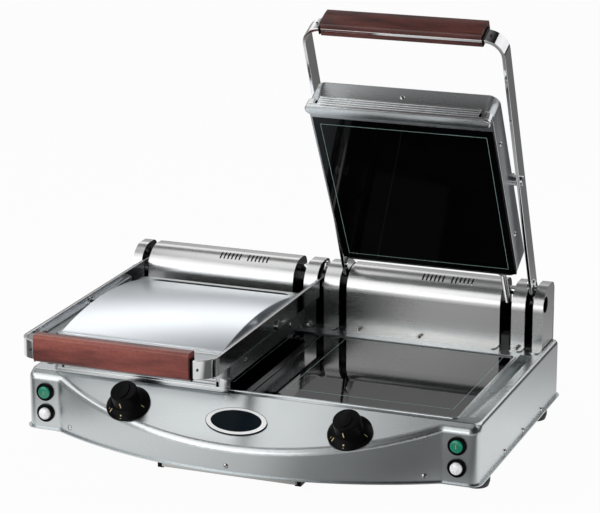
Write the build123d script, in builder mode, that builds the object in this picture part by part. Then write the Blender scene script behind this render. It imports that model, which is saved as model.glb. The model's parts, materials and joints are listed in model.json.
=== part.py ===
"""Double contact grill: pressed base, two glass griddle zones and two hinged lids.

Units are millimetres, +Z is up, +X is the operator's right and -Y faces the operator.
Depths are given from the middle of the feet; the saved pieces stand with the middle of
the whole footprint at the origin. The left lid is closed and the right lid stands open.
"""
from math import asin, cos, radians, sin, sqrt, tan
import os

from build123d import *

os.makedirs("parts", exist_ok=True)

# Base hood
base_width = 612.0
base_rear = 177.0
panel_face = -193.0
hood_top = 100.0
hood_wall = 1.5
corner_radius = 12.0
panel_width = 46.5
apron_bow = 64.0
control_slope = 31.0
panel_top = 94.0
edge_radius = 5.0
crest_radius = 11.0
crease_radius = 10.0
lip_reach = 3.5
lip_thickness = 1.5

# Feet and bottom
foot_height = 22.0
foot_diameter = 34.0
foot_inset = 20.0
foot_spacing_y = 260.0
bottom_plate_thickness = 1.5

# Griddle glass
glass_thickness = 4.0
glass_front = -170.0
glass_depth = 250.0
glass_below_rim = 0.6
glass_joint = 3.0
glass_corner = 8.0
seal_width = 1.5
ledge_width = 8.0
ledge_corner = 4.0
rim_height = 1.2
rim_width = 3.0

# Grease channels beside the glass
channel_width = 16.0
channel_land = 14.5
channel_gap = 4.5
channel_front_depth = 3.0
channel_rear_depth = 14.0
channel_front_inset = 8.0
channel_rear_reach = 12.0
drain_setback = 8.0
drain_diameter = 11.0

# Rear housing
housing_inset = 8.5
end_cover_width = 13.5
centre_cover_width = 22.0
housing_front = 118.0
housing_depth = 56.0
housing_height = 83.0
housing_front_radius = 31.0
housing_rear_radius = 13.0
cover_wall = 1.2
cover_flange = 17.0
flange_corner = 6.0
access_hole_diameter = 22.0
access_hole_setback = 13.0
access_hole_height = 60.0
frame_wall = 1.5
frame_height = 46.0
vents_in_group = 6
vent_pitch = 5.6
vent_group_gap = 10.6
vent_cut_spread = 1.05
vent_offset = 13.0
vent_width = 2.2
vent_angle_low = 52.0
vent_angle_high = 76.0

# Hinge line
hinge_setback = 38.0
hinge_height = 68.0
shaft_diameter = 12.0
bush_diameter = 18.0
bush_length = 4.0
shaft_end_in_bush = 2.4
shaft_chamfer = 0.8
lid_open_angle = 66.4
tilt_at_open = 5.1
running_clearance = 0.06

# Lid bar and grip
bar_thickness = 4.5
bar_height = 24.5
bar_bottom = 142.5
bar_front = -265.0
bar_rear_past_front = 30.0
bar_bend_radius = 26.0
grip_end_gap = 25.0
grip_thickness = 19.0
grip_height = 35.0
arm_gap = 11.0
lever_thickness = 2.4
lever_hub_diameter = 26.0

# Lid plate
lid_arm_gap = 6.25
lid_front = -187.0
lid_rear = 93.0
lid_wall = 1.5
lid_height = 38.0
lid_rest_gap = 14.1
lid_corner = 14.0
lid_glass_margin = 2.5
lid_glass_front_gap = 28.0
lid_glass_rear_gap = 3.0
bumper_depth = 13.0
bumper_height = 12.0
cover_margin = 9.0
cover_crown = 8.0
cover_edge = 2.5
cover_roll = 26.0
pivot_y = -45.7
pivot_height_in_bar = 7.0
pivot_pin_diameter = 8.0
pivot_collar_diameter = 14.0
conduit_arm_gap = 26.5
conduit_diameter = 8.0
conduit_wall = 1.0
conduit_reach = 57.0
conduit_height = 8.0
conduit_gap = 16.0

# Controls
knob_shift = 2.0
knob_along_slope = 46.7
knob_skirt_diameter = 57.0
knob_cap_diameter = 36.0
knob_height = 26.0
spindle_diameter = 6.0
switch_inset = 26.5
switch_height = 73.0
lamp_height = 44.3
bezel_diameter = 24.0
button_diameter = 16.0
button_travel = 3.0
badge_length = 82.0
badge_width = 43.0
badge_along_slope = 42.0
badge_thickness = 2.0

thermostat_neck_diameter = 10.0
thermostat_diameter = 34.0
thermostat_depth = 24.0
switch_barrel_diameter = 20.0
switch_depth = 32.0
bezel_height = 3.5
bezel_edge_radius = 1.2
button_edge_radius = 1.0
button_stand = 2.0
gland_inset = 106.0
gland_height = 50.0
gland_diameter = 16.0

# Grease tray
tray_width = 184.0
tray_front = -249.0
tray_depth = 190.0
tray_height = 6.2
tray_wall = 1.0
tray_clearance = 0.4
runner_width = 4.0

# Heaters
heater_pan_depth = 22.0
heater_pan_wall = 2.0
heater_margin = 12.0
heater_rod_diameter = 6.5
heater_runs = 4
heater_terminal_diameter = 9.0

# Fasteners
screw_head_diameter = 7.0
screw_head_height = 1.8
screw_crown_diameter = 3.0
screw_shank_diameter = 4.0
screw_shank_length = 8.0

shell_screw_height = 29.0
side_screw_y = (-77.0, 5.0, 90.0)
apron_screw_height = 31.5
apron_screw_inset = 18.5
flange_screw_setback = 5.0
flange_screw_insets = {"left": (29.0, 180.0), "right": (19.0, 105.5)}

# Small parts and gaps
bottom_edge_height = 12.0
slot_length = 60.0
slot_width = 5.0
slot_pitch_x = 90.0
slot_pitch_y = 14.0
slot_columns = 4
slot_rows = 4
foot_screw_recess = 8.0
foot_recess_diameter = 12.0
foot_face_diameter = 30.0
foot_taper_height = 6.6
foot_neck_rise = 2.0
foot_edge_radius = 1.5
glass_arris = 0.5
heater_corner = 10.0
heater_end = 30.0
heater_bend_radius = 20.0
drain_foot_inset = 10.0
drain_foot_y = -90.0
drain_knee = 58.0
drain_fall = 18.0
drain_pipe_wall = 1.0
tray_corner = 4.0
runner_lip = 4.0
part_gap = 0.3
clamp_depth = 20.0
clamp_height = 14.0
clamp_side_gap = 1.0
clamp_corner = 2.0
spring_wire = 3.0
spring_pitch = 6.0
spring_turns = 6
bar_tail_radius = 9.0
bar_edge_radius = 0.8
rivet_places = ((128.0, 155.0), (142.0, 158.0))
rivet_diameter = 5.0
rivet_head_diameter = 9.0
rivet_head_height = 1.2
lever_toe_diameter = 19.0
grip_rise = 4.75
grip_bulge = 1.5
grip_edge_radius = 4.0
lid_edge_radius = 3.0
lid_lower_radius = 0.8
lid_mouth_margin = 10.0
pad_groove_levels = (-4.5, -0.5, 3.5, 7.5)
pad_end_gap = 0.5
pad_edge_radius = 2.0
pad_relief_end = 14.5
pad_relief_drop = 3.0
pad_relief_height = 8.0
pad_relief_width = 3.5
pad_groove_end = 18.5
pad_groove_width = 1.0
pad_groove_depth = 0.6
ear_thickness = 3.0
ear_diameter = 18.0
lid_screw_y = (-128.0, 27.0)
lid_side_screw_z = 126.0
lid_front_screw_z = 132.0
lid_pan_height = 22.0
lid_terminal_length = 13.2
cover_edge_radius = 1.5
pivot_head_diameter = 13.0
pivot_head_height = 3.0
pivot_head_radius = 1.0
conduit_nut_diameter = 13.0
conduit_nut_height = 5.0
spindle_depth = 16.0
spindle_stand = 16.0
spindle_flat = 1.8
spindle_flat_start = 4.0
spindle_key_width = 4.5
knob_gap = 0.6
knob_rim = 3.0
knob_skirt_rise = 3.0
knob_flare = 4.0
knob_flare_height = 6.0
knob_cap_taper = 1.0
knob_cap_radius = 1.5
knob_ridge_rise = 1.6
knob_ridge_width = 15.5
knob_ridge_length = 26.0
button_depth = 8.0
lamp_diameter = 16.0
lamp_dome = 4.0
gland_inside = 14.0
gland_outside = 16.0
gland_collar_diameter = 24.0
gland_collar_height = 4.0
gland_bore = 9.0
gland_chamfer = 0.8

# Levels and places that follow from the sizes above
sides = {"left": -1, "right": 1}
rest_angle = {"left": 0.0, "right": lid_open_angle}
base_half = base_width / 2
foot_x = base_half - foot_inset
foot_neck_top = foot_height + bottom_plate_thickness + foot_neck_rise
foot_rows = (-foot_spacing_y / 2, foot_spacing_y / 2)
foot_places = [(sign * foot_x, y) for sign in sides.values() for y in foot_rows]
apron_half = base_half - panel_width
apron_radius = (apron_half**2 + apron_bow**2) / (2 * apron_bow)
apron_centre_y = panel_face - apron_bow + apron_radius
slope_rise = tan(radians(control_slope))
glass_top = hood_top - glass_below_rim
glass_bottom = glass_top - glass_thickness
glass_rear = glass_front + glass_depth
window_half = base_half - channel_land - channel_width - channel_gap
window_depth = glass_depth + 2 * seal_width
window_centre_y = glass_front + glass_depth / 2
glass_width = window_half - glass_joint / 2 - seal_width
channel_x = window_half + channel_gap + channel_width / 2
housing_rear = housing_front + housing_depth
housing_top = hood_top + housing_height
housing_half = base_half - housing_inset
gap_far = (housing_half - end_cover_width - centre_cover_width / 2) / 2
gap_near = gap_far - arm_gap
zone_offset = gap_far + centre_cover_width / 2
bar_offset = (gap_far + gap_near) / 2
lever_outer = bar_offset - bar_thickness / 2
lid_width = 2 * (lever_outer - lid_arm_gap)
lid_glass_width = lid_width - 2 * lid_glass_margin
lid_glass_depth = lid_rear - lid_front - lid_glass_front_gap - lid_glass_rear_gap
lid_glass_y = lid_front + lid_glass_front_gap + lid_glass_depth / 2
cover_width = lid_width - 2 * cover_margin
grip_length = 2 * (bar_offset - grip_end_gap)
conduit_offset = gap_near - conduit_arm_gap
main_end = conduit_offset - conduit_gap / 2
band_start = conduit_offset + conduit_gap / 2
hinge_y = housing_front + hinge_setback
hinge_z = hood_top + hinge_height
lid_glass_level = glass_top + lid_rest_gap
pad_relief_z = lid_glass_level - pad_relief_drop
lid_top = lid_glass_level + lid_height
pivot_z = bar_bottom + pivot_height_in_bar
bar_top = bar_bottom + bar_height
tray_top = foot_height - tray_clearance
tray_bottom = tray_top - tray_height
drain_foot_x = tray_width / 2 - drain_foot_inset
knob_offset = zone_offset + knob_shift
switch_offset = base_half - switch_inset
gland_x = base_half - gland_inset
footprint_front = bar_front + (bar_thickness - grip_thickness) / 2 - grip_bulge
footprint_rear = base_rear + gland_outside
conduit_z = lid_glass_level + conduit_height


def slope_height(y):
    """Height of the sloping control face above the worktop at a depth y."""
    return panel_top + slope_rise * (y - panel_face)


def slope_plane(x, along):
    """Plane that lies on the control face, along its fall from the panel face upwards."""
    y = panel_face - apron_bow + along * cos(radians(control_slope))
    return Plane(
        origin=(x, y, slope_height(y)),
        x_dir=(1, 0, 0),
        z_dir=(0, -sin(radians(control_slope)), cos(radians(control_slope))),
    )


def write_piece(shape, name):
    """Set a finished solid over the middle of the footprint, label it and write its STEP file."""
    placed = Pos(0, -(footprint_front + footprint_rear) / 2, 0) * shape
    placed.label = name
    export_step(placed, f"parts/{name}.step")


def save(builder, name):
    """Write a piece that stays on the base."""
    write_piece(builder.part, name)


def save_with_bar(builder, side, name):
    """Turn a piece that rides on a lid bar to its rest pose and save it."""
    hinge_line = Axis((0, hinge_y, hinge_z), (1, 0, 0))
    write_piece(builder.part.rotate(hinge_line, -rest_angle[side]), f"{name}_{side}")


def save_with_plate(builder, side, name):
    """Turn a piece that rides on a lid plate to its rest pose and save it."""
    hinge_line = Axis((0, hinge_y, hinge_z), (1, 0, 0))
    pivot_line = Axis((0, pivot_y, pivot_z), (1, 0, 0))
    tilt = tilt_at_open * rest_angle[side] / lid_open_angle
    tilted = builder.part.rotate(pivot_line, tilt)
    write_piece(tilted.rotate(hinge_line, -rest_angle[side]), f"{name}_{side}")


def hood_outline(inset):
    """Flat outline of the hood, shrunk by inset, with its bowed apron in front."""
    half = base_half - inset
    front = panel_face + inset
    radius = apron_radius - inset
    reach = sqrt(radius**2 - (apron_centre_y - front) ** 2)
    with BuildSketch() as outline:
        with BuildLine():
            Polyline(
                (-reach, front),
                (-half, front),
                (-half, base_rear - inset),
                (half, base_rear - inset),
                (half, front),
                (reach, front),
            )
            ThreePointArc((reach, front), (0, apron_centre_y - radius), (-reach, front))
        make_face()
        corners = outline.vertices().filter_by(lambda v: abs(v.X) > half - 1)
        fillet(corners, corner_radius - inset)
        creases = outline.vertices().filter_by(lambda v: abs(abs(v.X) - reach) < 0.01)
        fillet(creases, crease_radius + inset)
    return outline.sketch


def hood_form(inset):
    """Solid of the base hood, shrunk by inset on every face but its open bottom."""
    front = panel_face + inset
    drop = inset / cos(radians(control_slope))
    far_front = panel_face - 1.2 * apron_bow
    far_back = panel_face + 0.6 * apron_bow
    with BuildPart() as form:
        with BuildSketch(Plane.XY.offset(foot_height)):
            add(hood_outline(inset))
        extrude(amount=hood_top - inset - foot_height)
        with BuildSketch(Plane.YZ.offset(-base_half)):
            with BuildLine():
                Polyline(
                    (far_front, slope_height(far_front) - drop),
                    (far_back, slope_height(far_back) - drop),
                    (far_front, slope_height(far_back)),
                    close=True,
                )
            make_face()
        extrude(amount=base_width, mode=Mode.SUBTRACT)
        crest = form.edges().filter_by(lambda e: e.geom_type == GeomType.ELLIPSE and e.length > apron_half)
        panel_edges = form.edges().filter_by(
            lambda e: abs(e.center().X) > apron_half
            and e.center().Z > panel_top - drop - 1
            and e.center().Y < front + corner_radius
        )
        top_edges = form.faces().sort_by(Axis.Z)[-1].edges()
        fillet(crest, crest_radius - inset)
        fillet(ShapeList({*panel_edges, *top_edges}), edge_radius - inset)
    return form.part


def along_arc(x, height):
    """Plane on the bowed apron at a place across it, facing out."""
    lean = asin(x / apron_radius)
    y = apron_centre_y - apron_radius * cos(lean)
    return Plane(origin=(x, y, height), z_dir=(sin(lean), -cos(lean), 0))


def side_on(x, y, z):
    """Plane across the grill at a point, facing the operator's right."""
    return Plane(origin=(x, y, z), x_dir=(0, 1, 0), z_dir=(1, 0, 0))


def bore(place, diameter, depth):
    """Cut a round hole into the open part from a plane, down along its normal."""
    with BuildSketch(place) as hole:
        Circle(diameter / 2)
    extrude(hole.sketch, amount=-depth, mode=Mode.SUBTRACT)


def stud(place, diameter, length):
    """Add a round bar to the open part, standing on a plane along its normal."""
    with BuildSketch(place) as disc:
        Circle(diameter / 2)
    extrude(disc.sketch, amount=length)


# A domed screw, turned once and placed wherever one is driven
with BuildSketch(Plane.XZ) as screw_profile:
    with BuildLine():
        Polyline(
            (screw_crown_diameter / 2, screw_head_height),
            (0, screw_head_height),
            (0, -screw_shank_length),
            (screw_shank_diameter / 2, -screw_shank_length),
            (screw_shank_diameter / 2, 0),
            (screw_head_diameter / 2, 0),
        )
        ThreePointArc(
            (screw_head_diameter / 2, 0),
            (screw_head_diameter * 0.4, screw_head_height * 0.6),
            (screw_crown_diameter / 2, screw_head_height),
        )
    make_face()
domed_screw = revolve(screw_profile.sketch, axis=Axis.Z)


# Places of the screws, shared by the screws and the holes they go through
side_screw_places = [
    Plane(origin=(sign * base_half, y, shell_screw_height), z_dir=(sign, 0, 0))
    for sign in sides.values()
    for y in side_screw_y
]
apron_screw_x = apron_half - apron_screw_inset
apron_screw_places = [along_arc(x, apron_screw_height) for x in (-apron_screw_x, 0, apron_screw_x)]
flange_screw_x = [
    sign * zone_offset + x
    for side, sign in sides.items()
    for x in (*(inset - gap_near for inset in flange_screw_insets[side]), (band_start + gap_near) / 2)
]
flange_screw_places = [
    Plane(origin=(x, housing_front - flange_screw_setback, hood_top + cover_wall)) for x in flange_screw_x
]

# Base shell: a thin pressed hood with a step for the glass and two grease channels
outer_form = hood_form(0.0)
inner_form = hood_form(hood_wall)
ledge_level = glass_bottom - hood_wall
channel_front = glass_front + channel_front_inset
channel_rear = glass_rear + channel_rear_reach
channel_fall = (channel_rear_depth - channel_front_depth) / (channel_rear - channel_front)
drain_y = channel_rear - drain_setback
drain_z = hood_top - channel_front_depth - channel_fall * (drain_y - channel_front)


def channel_profile(sink):
    """Side outline of a grease channel, sunk further by its wall where asked."""
    with BuildSketch(Plane.YZ) as profile:
        with BuildLine():
            Polyline(
                (channel_front - sink, hood_top - channel_front_depth - sink),
                (channel_rear + sink, hood_top - channel_rear_depth - sink),
                (channel_rear + sink, hood_top - (hood_wall if sink else -1)),
                (channel_front - sink, hood_top - (hood_wall if sink else -1)),
                close=True,
            )
        make_face()
    return profile.sketch


with BuildPart() as base_shell:
    add(outer_form)
    add(inner_form, mode=Mode.SUBTRACT)
    with BuildSketch(Plane.XY.offset(foot_height)):
        add(hood_outline(-lip_reach))
        add(hood_outline(hood_wall), mode=Mode.SUBTRACT)
    extrude(amount=lip_thickness)
    # The step that carries the glass, with a bright raised rim round it
    with BuildSketch(Plane.XY.offset(ledge_level)):
        with Locations((0, window_centre_y)):
            RectangleRounded(2 * window_half + 2 * hood_wall, window_depth + 2 * hood_wall, glass_corner)
    extrude(amount=hood_top - hood_wall / 2 - ledge_level)
    with BuildSketch(Plane.XY.offset(hood_top - hood_wall)):
        with Locations((0, window_centre_y)):
            RectangleRounded(2 * window_half + 2 * rim_width, window_depth + 2 * rim_width, glass_corner)
    extrude(amount=hood_wall + rim_height)
    rim_edges = base_shell.faces().sort_by(Axis.Z)[-1].edges()
    fillet(rim_edges, rim_height * 0.9)
    with BuildSketch(Plane.XY.offset(glass_bottom)):
        with Locations((0, window_centre_y)):
            RectangleRounded(2 * window_half, window_depth, glass_corner - hood_wall)
    extrude(amount=hood_top, mode=Mode.SUBTRACT)
    with BuildSketch(Plane.XY.offset(ledge_level)):
        with Locations((-window_half / 2, window_centre_y), (window_half / 2, window_centre_y)):
            RectangleRounded(
                window_half - 2 * ledge_width, window_depth - 2 * ledge_width, ledge_corner
            )
    extrude(amount=hood_wall, mode=Mode.SUBTRACT)
    # Grease channels that fall to a drain at the rear
    for sign in sides.values():
        trough = extrude(channel_profile(hood_wall), amount=channel_width / 2 + hood_wall, both=True,
                         mode=Mode.PRIVATE)
        add(Pos(sign * channel_x, 0, 0) * trough)
    for sign in sides.values():
        hollow = extrude(channel_profile(0.0), amount=channel_width / 2, both=True, mode=Mode.PRIVATE)
        add(Pos(sign * channel_x, 0, 0) * hollow, mode=Mode.SUBTRACT)
        bore(Plane(origin=(sign * channel_x, drain_y, hood_top)), drain_diameter, 2 * channel_rear_depth)
    # Holes for the controls, the screws and the cord gland
    for sign in sides.values():
        bore(slope_plane(sign * knob_offset, knob_along_slope).offset(hood_wall), thermostat_neck_diameter,
             3 * hood_wall)
        for height in (switch_height, lamp_height):
            bore(Plane(origin=(sign * switch_offset, panel_face - hood_wall, height), z_dir=(0, -1, 0)),
                 switch_barrel_diameter, 3 * hood_wall)
    for place in side_screw_places + apron_screw_places + flange_screw_places:
        bore(place, screw_shank_diameter, screw_shank_length + 1)
    bore(Plane(origin=(gland_x, base_rear + hood_wall, gland_height), z_dir=(0, 1, 0)), gland_diameter,
         3 * hood_wall)
save(base_shell, "base_shell")

# Bottom plate with an upturned edge, cooling slots and a hole for each drain pipe
with BuildPart() as bottom_plate:
    with BuildSketch(Plane.XY.offset(foot_height)):
        add(hood_outline(hood_wall))
    extrude(amount=bottom_edge_height)
    with BuildSketch(Plane.XY.offset(foot_height + bottom_plate_thickness)):
        add(hood_outline(hood_wall + bottom_plate_thickness))
    extrude(amount=bottom_edge_height, mode=Mode.SUBTRACT)
    with BuildSketch(Plane.XY.offset(foot_height)):
        with GridLocations(slot_pitch_x, slot_pitch_y, slot_columns, slot_rows):
            SlotOverall(slot_length, slot_width)
        for sign in sides.values():
            with Locations((sign * drain_foot_x, drain_foot_y)):
                Circle(drain_diameter / 2)
    extrude(amount=bottom_plate_thickness, mode=Mode.SUBTRACT)
    for place in side_screw_places + apron_screw_places:
        bore(place, screw_shank_diameter, screw_shank_length + 1)
    for x, y in foot_places:
        bore(Plane(origin=(x, y, foot_height + bottom_plate_thickness)), screw_shank_diameter,
             bottom_plate_thickness)
save(bottom_plate, "bottom_plate")

# Four rubber feet, each a turned cup with a screw neck that goes up through the plate
with BuildSketch(Plane.XZ) as foot_profile:
    with BuildLine():
        Polyline(
            (0, foot_screw_recess),
            (foot_recess_diameter / 2, foot_screw_recess),
            (foot_recess_diameter / 2, 0),
            (foot_face_diameter / 2, 0),
            (foot_diameter / 2, foot_taper_height),
            (foot_diameter / 2, foot_height),
            (screw_shank_diameter / 2, foot_height),
            (screw_shank_diameter / 2, foot_neck_top),
            (0, foot_neck_top),
            close=True,
        )
    make_face()
    rounded = foot_profile.vertices().filter_by(
        lambda v: v.X > foot_face_diameter / 2 - 1 and v.Y < foot_height / 2
    )
    fillet(rounded, foot_edge_radius)
one_foot = revolve(foot_profile.sketch, axis=Axis.Z)

with BuildPart() as feet:
    for x, y in foot_places:
        add(Pos(x, y, 0) * one_foot)
save(feet, "feet")

# Screws of the hood, the apron and the housing covers
with BuildPart() as shell_screws:
    for place in side_screw_places + apron_screw_places + flange_screw_places:
        add(place.location * domed_screw)
save(shell_screws, "shell_screws")

# Lower glass panes and the black seal that frames them
for side, sign in sides.items():
    with BuildPart() as glass_lower:
        with BuildSketch(Plane.XY.offset(glass_bottom)):
            with Locations((sign * (glass_joint + glass_width) / 2, window_centre_y)):
                RectangleRounded(glass_width, glass_depth, glass_corner - hood_wall - seal_width)
        extrude(amount=glass_thickness)
        rim = glass_lower.faces().sort_by(Axis.Z)[-1].edges()
        chamfer(rim, glass_arris)
    save(glass_lower, f"glass_lower_{side}")

with BuildPart() as glass_seal:
    with BuildSketch(Plane.XY.offset(glass_bottom)):
        with Locations((0, window_centre_y)):
            RectangleRounded(2 * window_half, window_depth, glass_corner - hood_wall)
        for sign in sides.values():
            with Locations((sign * (glass_joint + glass_width) / 2, window_centre_y)):
                RectangleRounded(
                    glass_width, glass_depth, glass_corner - hood_wall - seal_width, mode=Mode.SUBTRACT
                )
    extrude(amount=glass_thickness - glass_arris)
save(glass_seal, "glass_seal")


def heater_pan(x, y, width, depth, mouth, height):
    """Open insulated pan for a heating element, its mouth level with the glass."""
    turn = 1 if height > 0 else -1
    with BuildSketch(Plane.XY.offset(mouth)) as outline:
        with Locations((x, y)):
            RectangleRounded(width, depth, heater_corner)
    extrude(outline.sketch, amount=height)
    with BuildSketch(Plane.XY.offset(mouth)) as hollow:
        with Locations((x, y)):
            RectangleRounded(
                width - 2 * heater_pan_wall, depth - 2 * heater_pan_wall, heater_corner - heater_pan_wall
            )
    extrude(hollow.sketch, amount=height - turn * heater_pan_wall, mode=Mode.SUBTRACT)
    with BuildSketch(Plane.XY.offset(mouth)) as terminals:
        for run in (0, heater_runs - 1):
            with Locations((heater_run_x(x, width, run), y - depth / 2 + heater_end)):
                Circle(heater_terminal_diameter / 2 + running_clearance)
    extrude(terminals.sketch, amount=height, mode=Mode.SUBTRACT)


def heater_run_x(x, width, run):
    """Place across the pan of one straight run of its heating rod."""
    pitch = (width - 2 * heater_end) / (heater_runs - 1)
    return x - width / 2 + heater_end + run * pitch


def heater_coil(x, y, width, depth, level, tail):
    """Heating rod bent to and fro in one plane, with two straight terminals."""
    near = y - depth / 2 + heater_end
    far = y + depth / 2 - heater_end
    points = []
    for run in range(heater_runs):
        ends = (near, far) if run % 2 == 0 else (far, near)
        points += [(heater_run_x(x, width, run), end) for end in ends]
    with BuildLine(Plane.XY.offset(level)) as route:
        FilletPolyline(*points, radius=heater_bend_radius)
    with BuildSketch(Plane(origin=route.line @ 0, z_dir=route.line % 0)) as rod:
        Circle(heater_rod_diameter / 2)
    sweep(rod.sketch, path=route.line)
    root = heater_terminal_diameter / 2 if tail < 0 else -heater_terminal_diameter / 2
    with BuildSketch(Plane.XY.offset(level + root)) as terminals:
        for run in (0, heater_runs - 1):
            with Locations((heater_run_x(x, width, run), near)):
                Circle(heater_terminal_diameter / 2)
    extrude(terminals.sketch, amount=tail - root)


pan_width = glass_width - 2 * heater_margin
pan_depth = glass_depth - 2 * heater_margin
for side, sign in sides.items():
    pan_x = sign * (glass_joint + glass_width) / 2
    with BuildPart() as heater_pan_lower:
        heater_pan(pan_x, window_centre_y, pan_width, pan_depth, glass_bottom, -heater_pan_depth)
    save(heater_pan_lower, f"heater_pan_lower_{side}")
    with BuildPart() as heater_coil_lower:
        heater_coil(pan_x, window_centre_y, pan_width, pan_depth,
                    glass_bottom - heater_pan_depth / 2, -heater_pan_depth)
    save(heater_coil_lower, f"heater_coil_lower_{side}")

# Pipes that lead the grease from the channels to the tray
with BuildPart() as drain_pipes:
    for sign in sides.values():
        with BuildLine() as pipe_route:
            Polyline(
                (sign * channel_x, drain_y, drain_z),
                (sign * channel_x, drain_y, drain_knee),
                (sign * drain_foot_x, drain_foot_y, drain_knee - drain_fall),
                (sign * drain_foot_x, drain_foot_y, foot_height),
            )
        with BuildSketch(Plane(origin=(sign * channel_x, drain_y, drain_z))) as ring:
            Circle(drain_diameter / 2 - running_clearance)
            Circle(drain_diameter / 2 - drain_pipe_wall, mode=Mode.SUBTRACT)
        sweep(ring.sketch, path=pipe_route.line, transition=Transition.RIGHT)
save(drain_pipes, "drain_pipes")

# Grease tray that slides out forwards, and the two runners that carry it
with BuildPart() as grease_tray:
    with BuildSketch(Plane.XY.offset(tray_bottom)):
        with Locations((0, tray_front + tray_depth / 2)):
            RectangleRounded(tray_width, tray_depth, tray_corner)
    extrude(amount=tray_height)
    floor_edges = grease_tray.faces().sort_by(Axis.Z)[0].edges()
    fillet(floor_edges, tray_wall)
    with BuildSketch(Plane.XY.offset(tray_bottom + tray_wall)):
        with Locations((0, tray_front + tray_depth / 2)):
            RectangleRounded(tray_width - 2 * tray_wall, tray_depth - 2 * tray_wall, tray_corner - tray_wall)
    extrude(amount=tray_height, mode=Mode.SUBTRACT)
save(grease_tray, "grease_tray")

with BuildPart() as tray_runners:
    lip_top = tray_bottom - tray_clearance
    for sign in sides.values():
        inner = sign * (tray_width / 2 + tray_clearance)
        outer = inner + sign * runner_width
        toe = inner - sign * runner_lip
        with BuildSketch(Plane.XZ.offset(-tray_front - 1)) as section:
            with BuildLine():
                Polyline(
                    (outer, foot_height),
                    (outer, lip_top - tray_wall),
                    (toe, lip_top - tray_wall),
                    (toe, lip_top),
                    (inner, lip_top),
                    (inner, foot_height),
                    close=True,
                )
            make_face()
        extrude(section.sketch, amount=-tray_depth)
save(tray_runners, "tray_runners")


# Rear housing: a black frame along the back and seven folded covers in front of it
def housing_outline(inset, floor):
    """Side outline of the housing covers, shrunk by inset down to a floor level."""
    with BuildSketch(Plane.YZ) as outline:
        with BuildLine():
            Polyline(
                (housing_front + inset, floor),
                (housing_front + inset, housing_top - inset),
                (housing_rear - inset, housing_top - inset),
                (housing_rear - inset, floor),
                close=True,
            )
        make_face()
        front_corner = outline.vertices().sort_by(Axis.Y)[-2:].sort_by(Axis.X)[0]
        fillet(front_corner, housing_front_radius - inset)
        rear_corner = outline.vertices().sort_by(Axis.X)[-2:].sort_by(Axis.Y)[-1]
        fillet(rear_corner, housing_rear_radius - inset)
    return outline.sketch


frame_front = housing_front + cover_wall + part_gap
frame_back = housing_rear - cover_wall - part_gap
frame_half = housing_half - cover_wall - part_gap


def make_cover(name, start, end, shaft_cheeks, access_cheeks, vents_at=None):
    """Fold one cover of the housing between two places across the hood."""
    with BuildPart() as cover:
        body = extrude(housing_outline(0.0, hood_top), amount=end - start, mode=Mode.PRIVATE)
        add(Pos(start, 0, 0) * body)
        hollow = extrude(housing_outline(cover_wall, hood_top), amount=end - start - 2 * cover_wall,
                         mode=Mode.PRIVATE)
        add(Pos(start + cover_wall, 0, 0) * hollow, mode=Mode.SUBTRACT)
        # Room for the frame at the back and under the cheeks
        with BuildSketch(Plane.YZ.offset(start)):
            with BuildLine():
                Polyline(
                    (housing_front + cover_wall, hood_top),
                    (housing_front + cover_wall, hood_top + frame_wall + part_gap),
                    (frame_back - frame_wall - part_gap, hood_top + frame_wall + part_gap),
                    (frame_back - frame_wall - part_gap, hood_top + frame_height + part_gap),
                    (housing_rear - cover_wall, hood_top + frame_height + part_gap),
                    (housing_rear - cover_wall, hood_top),
                    close=True,
                )
            make_face()
        extrude(amount=end - start, mode=Mode.SUBTRACT)
        with BuildSketch(Plane.XY.offset(hood_top)):
            with Locations(((start + end) / 2, housing_front - cover_flange / 2 + cover_wall / 2)):
                Rectangle(end - start, cover_flange + cover_wall)
        extrude(amount=cover_wall)
        toes = cover.edges().filter_by(Axis.Z).sort_by(Axis.Y)[:2]
        fillet(toes, min(flange_corner, (end - start) / 2 - 1))
        for x in shaft_cheeks:
            bore(side_on(x + 2 * cover_wall, hinge_y, hinge_z), bush_diameter, 4 * cover_wall)
        for x in access_cheeks:
            hole_y = housing_front + access_hole_setback
            hole_z = hood_top + access_hole_height
            bore(side_on(x + 2 * cover_wall, hole_y, hole_z), access_hole_diameter, 4 * cover_wall)
        for place in flange_screw_places:
            if start < place.origin.X < end:
                bore(place, screw_shank_diameter, 2 * cover_wall)
        if vents_at is not None:
            cut_vents(vents_at)
    save(cover, name)


def cut_vents(centre):
    """Cut two groups of slots through the front arch of the open cover."""
    arch_y = housing_front + housing_front_radius
    arch_z = housing_top - housing_front_radius
    radii = (housing_front_radius - 2 * cover_wall, housing_front_radius + 2 * cover_wall)
    corners = [
        (arch_y - r * cos(radians(a)), arch_z + r * sin(radians(a)))
        for r, a in (
            (radii[0], vent_angle_low),
            (radii[1], vent_angle_low),
            (radii[1] * vent_cut_spread, (vent_angle_low + vent_angle_high) / 2),
            (radii[1], vent_angle_high),
            (radii[0], vent_angle_high),
        )
    ]
    for sign in sides.values():
        for slot in range(vents_in_group):
            x = centre + sign * (vent_group_gap / 2 + slot * vent_pitch + vent_width / 2)
            with BuildSketch(Plane.YZ.offset(x)) as window:
                Polygon(*corners, align=None)
            extrude(window.sketch, amount=vent_width / 2, both=True, mode=Mode.SUBTRACT)


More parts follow.
